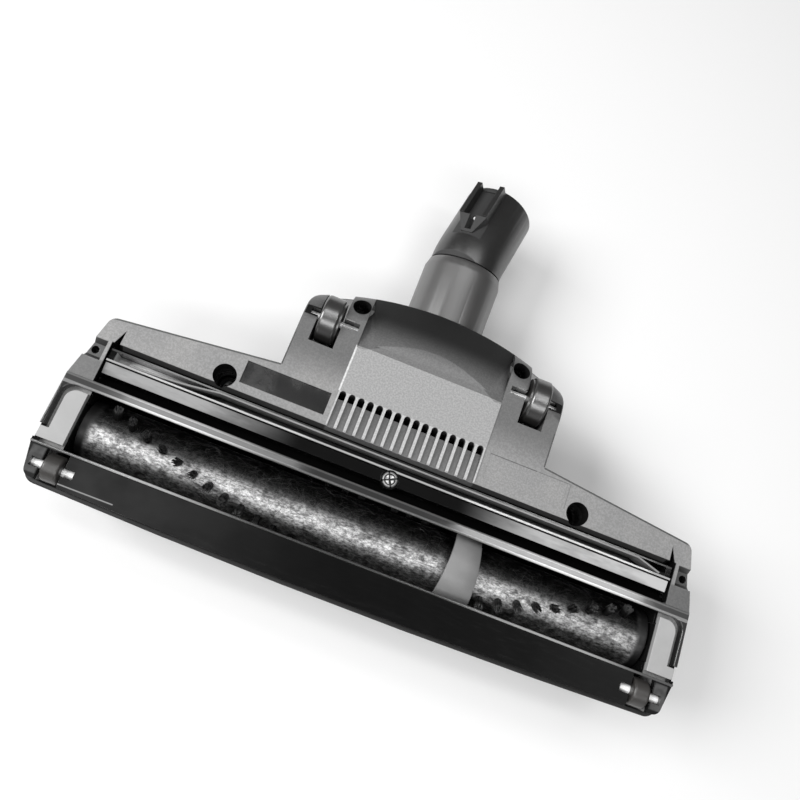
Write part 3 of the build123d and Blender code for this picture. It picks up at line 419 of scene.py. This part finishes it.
frameSettings = {
    "tone": 0.003, "spread": (0.85, 1.15),
    "rough": 0.06, "scuff": 0.07, "specular": 0.5, "ripple": 0.3,
    "middle": -0.005, "brightEnds": (0.035, 0.085),     # darkest x, and where the painted brightening towards the ends starts and is full
    # painted highlights and reflections on the long ridges: tone in the middle, tone at the ends, y from the nose,
    # z
    "ridges": {
        "bead": (0.03, 0.10, (0.0250, 0.0490), (0.0580, 0.0595)),
        "barFlat": (0.03, 0.10, (0.0455, 0.0473), (0.0580, 0.0595)),
        "barFront": (0.10, 0.62, (0.0440, 0.0454), (0.0583, 0.0595)),
        "barRear": (0.06, 0.36, (0.0474, 0.0490), (0.0583, 0.0595)),
        "rib": (0.03, 0.34, (0.0172, 0.0190), (0.0583, 0.0590)),
        "wallTop": (0.03, 0.17, (0.0633, 0.0642), (0.0562, 0.0570)),
    },
    "ridgeSoft": 0.00008, "corner": (0.100, 0.127), "cornerShare": 0.3,
    # patchy painted reflection on the front plate: tone, span of x, shares at its two ends
    "plateReflections": {"left": (0.030, (-0.125, 0.0), (1.0, 0.0)), "right": (0.012, (0.045, 0.125), (0.0, 1.0))},
    "plateReflectionBox": (None, (0.0, 0.0172), (0.0500, 0.0590), 0.0002),
    "plateReflectionSize": 38, "plateReflectionPatches": (0.35, 0.65, 0.6),  # patches run from low to high, with their least share
    "plateEnd": 0.085, "plateEndSize": 240, "plateEndPatches": (0.35, 0.65, 0.55),
    "plateEndBox": ((0.1318, 0.1372), (0.0062, 0.0168), (0.0550, 0.0590), 0.0004),
    # painted reflection on the sloped strip behind the bar, brighter at both ends, and painted highlights on the
    # crest and on the trough's left end behind it
    "stripLeft": 0.33, "stripRight": 0.50, "stripTurn": (-0.02, 0.02),
    "stripSize": 140, "stripStretch": (0.25, 1.0, 1.0), "stripPatches": (0.3, 0.62, 0.6),
    "stripBox": (None, (0.0530, 0.0582), (0.0550, 0.0570), 0.0002),
    "troughEndHighlight": 0.85, "troughFade": (-0.112, -0.085),
    "troughBox": ((-0.1245, -0.080), (0.0594, 0.0633), (0.0400, 0.0560), 0.0002),
    # painted highlight on the edge of the front bevel at the left
    "platePaint": {"edge": (0.25, (-0.1225, -0.0990), (0.0054, 0.0059), (0.0500, 0.0590), 0.0001)},
    # painted highlight along the crest behind the strip
    "crestPaint": {"crest": (0.36, None, (0.0583, 0.0594), (0.0568, 0.0580), 0.0002)},
}


def glossFrame():
    # black gloss, with painted reflections and highlights that brighten towards both ends
    s = frameSettings
    made, tree, shader = emptyMaterial("glossFrame")
    x = axes(tree)[0]
    dark, pale = (s["tone"] * share for share in s["spread"])
    colour = clouded(tree, surfaceSettings["cloudSize"], 5, grey(dark), grey(pale))
    fromDarkest = maths(tree, "ABSOLUTE", maths(tree, "SUBTRACT", x, s["middle"]))
    ends = remap(tree, fromDarkest, *s["brightEnds"])
    corner = remap(tree, maths(tree, "ABSOLUTE", x), *s["corner"], 1.0, s["cornerShare"])

    # patchy painted reflection on the front plate, towards its left and right ends
    plateReflection = insideBox(tree, *s["plateReflectionBox"])
    plateReflection = patchy(tree, plateReflection, noise(tree, s["plateReflectionSize"], 3, 0.6), *s["plateReflectionPatches"])
    for tone, span, shares in s["plateReflections"].values():
        side = times(tree, plateReflection, remap(tree, x, *span, *shares))
        colour = blendColour(tree, side, colour, grey(tone))
    # painted highlights and reflections on the ridges, brighter towards both ends and fading at the corners
    for middleTone, endTone, y, z in s["ridges"].values():
        paintedSheen = blendColour(tree, ends, grey(middleTone), grey(endTone))
        ridge = times(tree, corner, insideBox(tree, None, y, z, s["ridgeSoft"]))
        colour = blendColour(tree, ridge, colour, paintedSheen)
    plateEnd = insideBoth(tree, *s["plateEndBox"])
    plateEnd = patchy(tree, plateEnd, noise(tree, s["plateEndSize"], 3, 0.6), *s["plateEndPatches"])
    colour = blendColour(tree, plateEnd, colour, grey(s["plateEnd"]))
    # painted highlight on the edge of the front bevel
    colour = paintZones(tree, colour, s["platePaint"])

    # patchy painted reflection on the sloped strip, brighter towards both ends
    strip = times(tree, ends, insideBox(tree, *s["stripBox"]))
    stripNoise = noise(tree, s["stripSize"], 4, 0.6, s["stripStretch"])
    strip = patchy(tree, strip, stripNoise, *s["stripPatches"])
    side = remap(tree, x, *s["stripTurn"])
    paintedSheen = blendColour(tree, side, grey(s["stripLeft"]), grey(s["stripRight"]))
    colour = blendColour(tree, strip, colour, paintedSheen)
    # painted highlight along the crest
    colour = paintZones(tree, colour, s["crestPaint"])
    # painted highlight on the trough's floor, fading in from its left end
    fade = remap(tree, x, *s["troughFade"], 1.0, 0.0)
    troughEndHighlight = times(tree, fade, insideBox(tree, *s["troughBox"]))
    colour = blendColour(tree, troughEndHighlight, colour, grey(s["troughEndHighlight"]))

    join(tree, colour, shader.inputs["Base Color"])
    scuffed(tree, shader, s["rough"], s["scuff"])
    shader.inputs["Specular IOR Level"].default_value = s["specular"]
    rippled(tree, shader, s["ripple"])
    return made


# bright finishes with fine drawn lines
steelSettings = {
    "lint": {"name": "lintGrey", "rough": 0.45, "tones": (0.08, 0.20)},
    "screw": {"name": "screwSteel", "rough": 0.30, "tones": (0.10, 0.22)},
    "steel": {"name": "brightSteel", "rough": 0.24, "tones": (0.94, 1.0), "metal": 0.12},
}


def brightSteel(name, rough, tones, metal=1.0):
    s = surfaceSettings
    made, tree, shader = emptyMaterial(name)
    lines = noise(tree, s["lineSize"], 3, 0.6, s["lineStretch"])
    colour = blendColour(tree, lines, grey(tones[0]), grey(tones[1]))
    join(tree, colour, shader.inputs["Base Color"])
    scuffs = remap(tree, lines, *s["lineSpan"], rough, rough + s["lineScuff"])
    join(tree, scuffs, shader.inputs["Roughness"])
    shader.inputs["Metallic"].default_value = metal
    bumpInto(tree, shader, lines, s["lineDepth"], s["lineStrength"])
    return made


rollerSettings = {
    "dark": 0.008, "silver": 0.68, "rough": (0.40, 0.50), "lift": 0.00004, "liftStrength": 0.7,
    "fluffSize": 620, "fluffStretch": (0.6, 1.0, 1.0),
    "patchSize": 170,
    "threadSize": 1500, "threadStretch": (0.4, 1.0, 1.0),
    # cover of each texture: from low to high, to thin and full
    "fluff": (0.33, 0.60, 0.38, 1.0), "patches": (0.30, 0.56, 0.42, 1.0), "threads": (0.36, 0.60, 0.42, 1.05),
    "bareEnd": (0.1195, 0.1235),
    "thin": 0.10, "rearShadeStart": (-0.14, 0.22), "rearShadeEnd": (1.2, 1.5),    # band thinned as painted shade on the rear side, in radians from the top
}


def dustyRoller():
    # fine silvery fluff pressed flat on a dark core, thinned on the rear side as painted shade
    s = rollerSettings
    made, tree, shader = emptyMaterial("dustyRoller")
    x, y, z = axes(tree)
    fluff = noise(tree, s["fluffSize"], 5, 0.7, s["fluffStretch"])
    patches = noise(tree, s["patchSize"], 4, 0.65)
    threads = noise(tree, s["threadSize"], 3, 0.7, s["threadStretch"])
    cover = times(tree, remap(tree, fluff, *s["fluff"]), remap(tree, patches, *s["patches"]))
    cover = times(tree, cover, remap(tree, threads, *s["threads"]))
    dusted = remap(tree, maths(tree, "ABSOLUTE", x), *s["bareEnd"], 1.0, 0.0)
    cover = times(tree, cover, dusted)
    # painted shade: the cover thins on the rear side of the roller
    behind = maths(tree, "SUBTRACT", y, brushAxis.y)
    over = maths(tree, "SUBTRACT", z, brushAxis.z)
    turn = maths(tree, "ARCTAN2", behind, over)
    frontShare = remap(tree, turn, *s["rearShadeStart"], 1.0, s["thin"])
    rearShare = remap(tree, turn, *s["rearShadeEnd"], s["thin"], 1.0)
    cover = times(tree, cover, maths(tree, "MAXIMUM", frontShare, rearShare))
    join(tree, blendColour(tree, cover, grey(s["dark"]), grey(s["silver"])), shader.inputs["Base Color"])
    join(tree, remap(tree, cover, 0.0, 1.0, *s["rough"]), shader.inputs["Roughness"])
    join(tree, remap(tree, dusted, 0.0, 1.0), shader.inputs["Metallic"])
    bumpInto(tree, shader, maths(tree, "ADD", threads, fluff), s["lift"], s["liftStrength"])
    return made


tipSettings = {
    "dark": 0.004, "pale": 0.07, "rough": (0.35, 0.50),
    "dustSize": 700, "dustSpan": (0.3, 0.7), "dustPatches": (0.35, 0.6, 0.4),
    "start": 0.0180, "end": 0.0190,                # from the roller's axis
}


def paleTips():
    # black bristles, worn pale at their tips
    s = tipSettings
    made, tree, shader = emptyMaterial("bristleBlack")
    y, z = axes(tree)[1:]
    behind = maths(tree, "SUBTRACT", y, brushAxis.y)
    over = maths(tree, "SUBTRACT", z, brushAxis.z)
    worn = remap(tree, distance(tree, behind, over), s["start"], s["end"])
    dusty = noise(tree, s["dustSize"], 3, 0.6)
    worn = patchy(tree, worn, dusty, *s["dustPatches"])
    join(tree, blendColour(tree, worn, grey(s["dark"]), grey(s["pale"])), shader.inputs["Base Color"])
    join(tree, remap(tree, dusty, *s["dustSpan"], *s["rough"]), shader.inputs["Roughness"])
    return made


screwSettings = {
    "ring": 0.0025, "centre": 0.0019, "cross": 0.0004, "soft": 0.0002, "turn": 25.0,
    "rimTone": 0.30, "grooveShade": 0.015, "middleTone": 0.75,
    "rough": (0.25, 0.4), "roughSize": 900, "roughSpan": (0.3, 0.7), "metal": 0.4,
}


def crossScrew():
    # bright rim and middle, with painted shade in the groove between them and in the cross
    s = screwSettings
    made, tree, shader = emptyMaterial("crossScrew")
    low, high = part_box("sole_screw")
    x, y = axes(tree)[:2]
    x = maths(tree, "SUBTRACT", x, (low.x + high.x) / 2)
    y = maths(tree, "SUBTRACT", y, (low.y + high.y) / 2)
    fromMiddle = distance(tree, x, y)
    # painted shade in the groove and in the cross
    paintedShade = grey(s["grooveShade"])
    colour = blendColour(tree, above(tree, fromMiddle, s["ring"], s["soft"]), paintedShade, grey(s["rimTone"]))
    colour = blendColour(tree, below(tree, fromMiddle, s["centre"], s["soft"]), colour, grey(s["middleTone"]))
    c = math.cos(math.radians(s["turn"]))
    d = math.sin(math.radians(s["turn"]))
    for a, b in ((c, d), (-d, c)):
        across = maths(tree, "ADD", times(tree, x, a), times(tree, y, b))
        bar = below(tree, maths(tree, "ABSOLUTE", across), s["cross"], s["soft"] / 2)
        colour = blendColour(tree, bar, colour, paintedShade)
    join(tree, colour, shader.inputs["Base Color"])
    scuffs = remap(tree, noise(tree, s["roughSize"], 3, 0.6), *s["roughSpan"], *s["rough"])
    join(tree, scuffs, shader.inputs["Roughness"])
    shader.inputs["Metallic"].default_value = s["metal"]
    return made


socketSettings = {
    "plastic": {
        "name": "connectorDark", "tone": 0.009, "rough": 0.32, "specular": 0.8, "warm": 0.02,
        "scuff": 0.06, "grain": (1700, 0.00001), "ior": 1.6,
    },
    # from the head to the rails, in degrees: neck, swivel, bend, rails
    "turns": ((8.0, "X"), (57.0, "Y"), (-18.5, "Z"), (-84.0, "Y")),
    "mouth": 0.014,                                # from the mount's place to the socket's mouth
    # painted shade in the slots between the rails: half width, span along the socket
    "slots": {"channel": (0.0047, (-0.0305, -0.0004)), "collar": (0.0074, (-0.0310, -0.0213))},
    "above": 0.0150, "bore": 0.0163, "soft": 0.0002,
    "black": 0.003, "matt": 0.75,
}


def socketAxes(tree):
    # places across, along and above the wand socket, from the middle of its mouth
    s = socketSettings
    mount = [m for m in frame["record"]["mounts"] if m["name"] == "wand_socket"][0]
    mouth = Vector(mount["pos_m"]) + Vector(mount["axis"]) * s["mouth"]
    turn = Matrix.Identity(3)
    for angle, axis in s["turns"]:
        turn = turn @ Matrix.Rotation(math.radians(angle), 3, axis)
    found = []
    for column in range(3):
        dot = put(tree, "ShaderNodeVectorMath", operation="DOT_PRODUCT")
        dot.inputs[1].default_value = turn.col[column]
        join(tree, objectPlace(tree), dot.inputs[0])
        found.append(maths(tree, "SUBTRACT", dot.outputs["Value"], mouth.dot(turn.col[column])))
    return found


def wandSocket():
    # satin black, with painted shade in the bore and in the channel between the rails
    s = socketSettings
    soft = s["soft"]
    made = smoothPlastic(**s["plastic"])
    tree = made.node_tree
    shader = [n for n in tree.nodes if n.type == "BSDF_PRINCIPLED"][0]
    across, along, over = socketAxes(tree)
    shadedHollows = []
    for half, span in s["slots"].values():
        slot = below(tree, maths(tree, "ABSOLUTE", across), half, soft)
        slot = times(tree, slot, between(tree, along, *span, soft))
        shadedHollows.append(times(tree, slot, above(tree, over, s["above"], soft)))
    shadedHollows.append(remap(tree, distance(tree, across, over), s["bore"] - soft, s["bore"], 1.0, 0.0))
    # painted shade in the channel, the collar and the bore
    inside = anyOf(tree, shadedHollows)
    plain = shader.inputs["Base Color"].links[0].from_socket
    join(tree, blendColour(tree, inside, plain, grey(s["black"])), shader.inputs["Base Color"])
    satin = shader.inputs["Roughness"].links[0].from_socket
    matt = times(tree, inside, s["matt"])
    join(tree, maths(tree, "MAXIMUM", satin, matt), shader.inputs["Roughness"])
    return made


padSettings = {
    "tone": 0.36, "spread": (0.93, 1.05), "rough": 0.38, "scuff": 0.15, "grain": (1600, 0.00002),
    "leg": 0.008, "legBox": (None, None, (-0.1, 0.0549), 0.0001),
}


def palePad():
    # pale on top, black on the leg below it
    s = padSettings
    made, tree, shader = emptyMaterial("palePad")
    dark, pale = (s["tone"] * share for share in s["spread"])
    colour = clouded(tree, surfaceSettings["cloudSize"], 5, grey(dark), grey(pale))
    leg = insideBox(tree, *s["legBox"])
    join(tree, blendColour(tree, leg, colour, grey(s["leg"])), shader.inputs["Base Color"])
    scuffed(tree, shader, s["rough"], s["scuff"], (1, 1, 1))
    grained(tree, shader, *s["grain"])
    return made


finishes = {name: smoothPlastic(**s) for name, s in plasticSettings.items()}
finishes.update({name: brightSteel(**s) for name, s in steelSettings.items()})
finishes["shell"] = texturedShell()
finishes["gloss"] = glossFrame()
finishes["pad"] = palePad()
finishes["roller"] = dustyRoller()
finishes["bristle"] = paleTips()
finishes["connector"] = wandSocket()
finishes["soleScrew"] = crossScrew()

nodeFinish = {
    "base_housing": "shell", "sole_frame": "gloss", "top_cover": "cover", "front_bumper": "bumper",
    "rear_lip": "lip", "belt_cover": "beltCover", "drive_belt": "rubber", "turbine_housing": "turbine",
    "sole_screw": "soleScrew", "housing_screws": "screw", "brush_core": "roller",
    "bristle_tufts": "bristle", "brush_axle": "steel", "turbine_rotor": "turbine",
    "turbine_shaft": "steel", "turbine_pulley": "turbine", "tilt_neck": "neck",
    "swivel_connector": "connector", "swivel_ring": "turbine",
}
pairFinish = {
    "end_cap": "pad", "brush_bearing": "bush", "turbine_bearing": "bush", "rear_wheel": "wheel",
    "rear_tyre": "tyre", "rear_axle": "steel", "front_wheel": "frontWheel", "front_axle": "steel",
}
for name, finish in pairFinish.items():
    for side in ("left", "right"):
        nodeFinish[name + "_" + side] = finish
for name, finish in nodeFinish.items():
    slots = nodes[name].data.materials
    slots.clear()
    slots.append(finishes[finish])
print("finishes on", len(nodeFinish), "nodes")

# moulded edges: a fine rounding that catches the light, widths in millimetres and angles in degrees
edgeSettings = {
    "weld": 0.002, "flat": 0.6, "angle": 35.0, "steps": 2,
    "width": {
        "base_housing": 0.30, "sole_frame": 0.30, "top_cover": 0.5, "front_bumper": 0.6,
        "rear_lip": 0.15, "belt_cover": 0.25, "swivel_connector": 0.30, "tilt_neck": 0.3,
        "end_cap_left": 0.25, "end_cap_right": 0.25,
    },
}


def softenEdges(name, width):
    s = edgeSettings
    stack = nodes[name].modifiers
    weld = stack.new("weld", "WELD")
    weld.merge_threshold = s["weld"] * mm
    flat = stack.new("flat", "DECIMATE")
    flat.decimate_type = "DISSOLVE"
    flat.angle_limit = math.radians(s["flat"])
    bevel = stack.new("bevel", "BEVEL")
    bevel.width = width * mm
    bevel.segments = s["steps"]
    bevel.limit_method = "ANGLE"
    bevel.angle_limit = math.radians(s["angle"])
    bevel.harden_normals = True


for name, width in edgeSettings["width"].items():
    softenEdges(name, width)
print("edges softened on", len(edgeSettings["width"]), "nodes")

# strands: thin three-sided rods along a line of points
strandSettings = {
    "corners": (0.0, 2.0944, 4.18879),             # turns round the rod, in radians
    "tipShare": 0.45,                              # thickness left at the end
}


def strandMesh(name, lines, finish):
    corners = strandSettings["corners"]
    sides = len(corners)
    points, faces = [], []
    for line, radius in lines:
        first = len(points)
        final = len(line) - 1
        for step, place in enumerate(line):
            ahead = (line[min(step + 1, final)] - line[max(step - 1, 0)]).normalized()
            side = ahead.orthogonal().normalized()
            thick = radius * (1.0 if step < final else strandSettings["tipShare"])
            for turn in corners:
                offset = side * math.cos(turn) + ahead.cross(side) * math.sin(turn)
                points.append(place + offset * thick)
        for step in range(final):
            ring = first + step * sides
            for edge in range(sides):
                a = ring + edge
                b = ring + (edge + 1) % sides
                faces.append((a, b, b + sides, a + sides))
        last = first + final * sides
        faces.append(tuple(last + edge for edge in range(sides)))
        faces.append(tuple(first + edge for edge in reversed(range(sides))))
    mesh = bpy.data.meshes.new(name)
    mesh.from_pydata([tuple(point) for point in points], [], faces)
    mesh.polygons.foreach_set("use_smooth", [True] * len(mesh.polygons))
    mesh.materials.append(finishes[finish])
    made = bpy.data.objects.new(name, mesh)
    bpy.context.scene.collection.objects.link(made)
    return made


def onRoller(x, angle, radius):
    # angle counts from straight up towards the rear
    return Vector((x, brushAxis.y + radius * math.sin(angle), brushAxis.z + radius * math.cos(angle)))


# sizes in millimetres, root and tip from the roller's axis
bristleSettings = {
    "seed": 41, "perTuft": 64, "thick": 0.22, "weld": 0.002,
    "root": 12.2, "tip": (18.3, 19.4), "rootSpread": 1.55, "tipSpread": 1.9, "stray": 0.15,
    "rises": (0.0, 0.5, 1.0),                      # points of a bristle, from root to tip
}


def tuftPlaces():
    # one place for each island of the tuft node
    work = bmesh.new()
    work.from_mesh(nodes["bristle_tufts"].data)
    bmesh.ops.remove_doubles(work, verts=work.verts, dist=bristleSettings["weld"] * mm)
    seen, found = set(), []
    for start in work.verts:
        if start in seen:
            continue
        island, queue = [], [start]
        seen.add(start)
        while queue:
            here = queue.pop()
            island.append(here.co.copy())
            for edge in here.link_edges:
                other = edge.other_vert(here)
                if other not in seen:
                    seen.add(other)
                    queue.append(other)
        middle = sum(island, Vector()) / len(island)
        found.append((middle.x, math.atan2(middle.y - brushAxis.y, middle.z - brushAxis.z)))
    work.free()
    return found


def makeBristles():
    s = bristleSettings
    dice = random.Random(s["seed"])
    across = Vector((1, 0, 0))
    lines = []
    places = tuftPlaces()
    for x, angle in places:
        foot = Vector((x, brushAxis.y, brushAxis.z))
        outward = onRoller(0, angle, 1.0) - onRoller(0, angle, 0.0)
        sideways = Vector((0, outward.z, -outward.y))
        for _ in range(s["perTuft"]):
            turn = dice.uniform(0, 2 * math.pi)
            share = math.sqrt(dice.random())
            tip = dice.uniform(*s["tip"])
            stray = (across * dice.uniform(-1, 1) + sideways * dice.uniform(-1, 1)) * s["stray"]
            lean = across * math.cos(turn) + sideways * math.sin(turn)
            line = []
            for rise in s["rises"]:
                spread = s["rootSpread"] + (s["tipSpread"] - s["rootSpread"]) * rise
                reach = s["root"] + (tip - s["root"]) * rise
                line.append(foot + (outward * reach + lean * spread * share + stray * rise ** 2) * mm)
            lines.append((line, s["thick"] * mm))
    made = strandMesh("bristles", lines, "bristle")
    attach(made, "brush")
    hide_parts("bristle_tufts")
    print("bristles:", len(places), "tufts,", len(lines), "bristles")


# sizes in millimetres, course and bend in radians
lintSettings = {
    "seed": 7, "count": 5000, "thick": 0.032, "thickShare": (0.6, 1.2), "length": (2.5, 8.0), "steps": 4,
    "course": (1.0, 0.7), "bend": 0.16,            # middle and spread of the course, bend for each millimetre
    "clear": 0.03, "lift": (0.02, 0.25), "half": 120.0, "beltLane": (35.0, 47.0),
}


def makeLint():
    # hairs and threads wound round the core, none in the belt's lane
    s = lintSettings
    dice = random.Random(s["seed"])
    coreRadius = (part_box("brush_core")[1].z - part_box("brush_core")[0].z) / 2 / mm
    lines = []
    while len(lines) < s["count"]:
        x = dice.uniform(-s["half"], s["half"])
        angle = dice.uniform(0, 2 * math.pi)
        length = dice.uniform(*s["length"])
        course = dice.gauss(*s["course"])
        bend = dice.uniform(-s["bend"], s["bend"])
        lift = dice.uniform(*s["lift"])
        stride = length / s["steps"]
        line = []
        for step in range(s["steps"] + 1):
            rise = coreRadius + lift * math.sin(math.pi * step / s["steps"]) + s["clear"]
            line.append(onRoller(x * mm, angle, rise * mm))
            x += math.cos(course) * stride
            angle += math.sin(course) * stride / rise
            course += bend * stride
        ends = [point.x / mm for point in line]
        if max(ends) > s["half"] or min(ends) < -s["half"]:
            continue
        if min(ends) < s["beltLane"][1] and max(ends) > s["beltLane"][0]:
            continue
        lines.append((line, s["thick"] * dice.uniform(*s["thickShare"]) * mm))
    made = strandMesh("lint", lines, "lint")
    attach(made, "brush")
    print("lint:", len(lines), "threads")


makeBristles()
makeLint()

# stage: floor, lights, camera
cameraSettings = {
    "place": (-0.0221, 0.0077, 0.3635),            # y counts from the nose
    "elevation": 74.98, "azimuth": -9.87, "roll": 31.16,
    "focalPixels": 740.0, "imagePixels": 800.0, "sensor": 36.0, "nearest": 0.005,
}


def addCamera():
    s = cameraSettings
    e, a, r = (math.radians(s[name]) for name in ("elevation", "azimuth", "roll"))
    back = Vector((math.sin(a) * math.cos(e), -math.cos(a) * math.cos(e), math.sin(e)))
    right = (-back).cross(Vector((0, 0, 1))).normalized()
    up = right.cross(-back)
    turnedRight = right * math.cos(r) + up * math.sin(r)
    turnedUp = -right * math.sin(r) + up * math.cos(r)
    data = bpy.data.cameras.new("photoCamera")
    data.sensor_width = s["sensor"]
    data.lens = s["sensor"] * s["focalPixels"] / s["imagePixels"]
    data.clip_start = s["nearest"]
    made = bpy.data.objects.new("photoCamera", data)
    bpy.context.scene.collection.objects.link(made)
    turn = Matrix((turnedRight, turnedUp, back)).transposed().to_4x4()
    place = Vector(s["place"]) + Vector((0, noseY, 0))
    made.matrix_world = Matrix.Translation(place) @ turn
    bpy.context.scene.camera = made


floorSettings = {"half": 3.0, "tone": 0.84, "glow": 0.08}


def addFloor():
    s = floorSettings
    h = s["half"]
    mesh = bpy.data.meshes.new("floor")
    mesh.from_pydata([(-h, -h, 0), (h, -h, 0), (h, h, 0), (-h, h, 0)], [], [(0, 1, 2, 3)])
    made = bpy.data.objects.new("floor", mesh)
    bpy.context.scene.collection.objects.link(made)
    paper = bpy.data.materials.new("paleFloor")
    paper.use_nodes = True
    tree = paper.node_tree
    tree.nodes.clear()
    matt = put(tree, "ShaderNodeBsdfDiffuse", {"Color": grey(s["tone"])})
    glow = put(tree, "ShaderNodeEmission", {"Color": grey(1.0), "Strength": 1.0})
    path = put(tree, "ShaderNodeLightPath")
    rays = ("Is Camera Ray", "Is Glossy Ray", "Is Transmission Ray")
    seen = anyOf(tree, [path.outputs[ray] for ray in rays])
    mixed = put(tree, "ShaderNodeMixShader")
    join(tree, times(tree, seen, s["glow"]), mixed.inputs[0])
    join(tree, matt.outputs[0], mixed.inputs[1])
    join(tree, glow.outputs[0], mixed.inputs[2])
    out = put(tree, "ShaderNodeOutputMaterial")
    join(tree, mixed.outputs[0], out.inputs["Surface"])
    mesh.materials.append(paper)


lightSettings = {
    "world": 0.13,
    # soft boxes: place, aim, width and depth, watts
    "lamps": {
        "overRear": ((0.03, 0.245, 0.72), (0.03, 0.10, 0.0), (0.60, 0.16), 1.25),
        "overLeft": ((-0.19, 0.04, 0.72), (-0.19, 0.0, 0.0), (0.24, 0.07), 0.26),
        "overRight": ((0.285, 0.04, 0.72), (0.285, 0.0, 0.0), (0.27, 0.07), 0.60),
        "front": ((0.05, -0.43, 0.72), (0.05, -0.05, 0.05), (0.90, 0.20), 2.8),
        "key": ((-1.15, -0.10, 1.10), (0.0, 0.0, 0.04), (0.80, 0.80), 21.5),
        "lowLeft": ((-0.36, -0.72, 0.16), (-0.05, -0.05, 0.05), (0.40, 0.20), 0.2),
        "lowRight": ((0.44, -0.70, 0.16), (0.05, -0.05, 0.05), (0.40, 0.20), 0.2),
    },
}


def addLights():
    s = lightSettings
    world = bpy.data.worlds.new("studio")
    bpy.context.scene.world = world
    world.use_nodes = True
    background = world.node_tree.nodes["Background"]
    background.inputs["Color"].default_value = grey(1.0)
    background.inputs["Strength"].default_value = s["world"]
    for name, (place, aim, size, watts) in s["lamps"].items():
        data = bpy.data.lights.new(name, "AREA")
        data.shape = "RECTANGLE"
        data.size, data.size_y = size
        data.energy = watts
        made = bpy.data.objects.new(name, data)
        bpy.context.scene.collection.objects.link(made)
        made.location = place
        made.rotation_euler = (Vector(aim) - Vector(place)).to_track_quat("-Z", "Y").to_euler()


addCamera()
addFloor()
addLights()
bpy.context.scene.view_settings.view_transform = "Standard"
print("stage set")
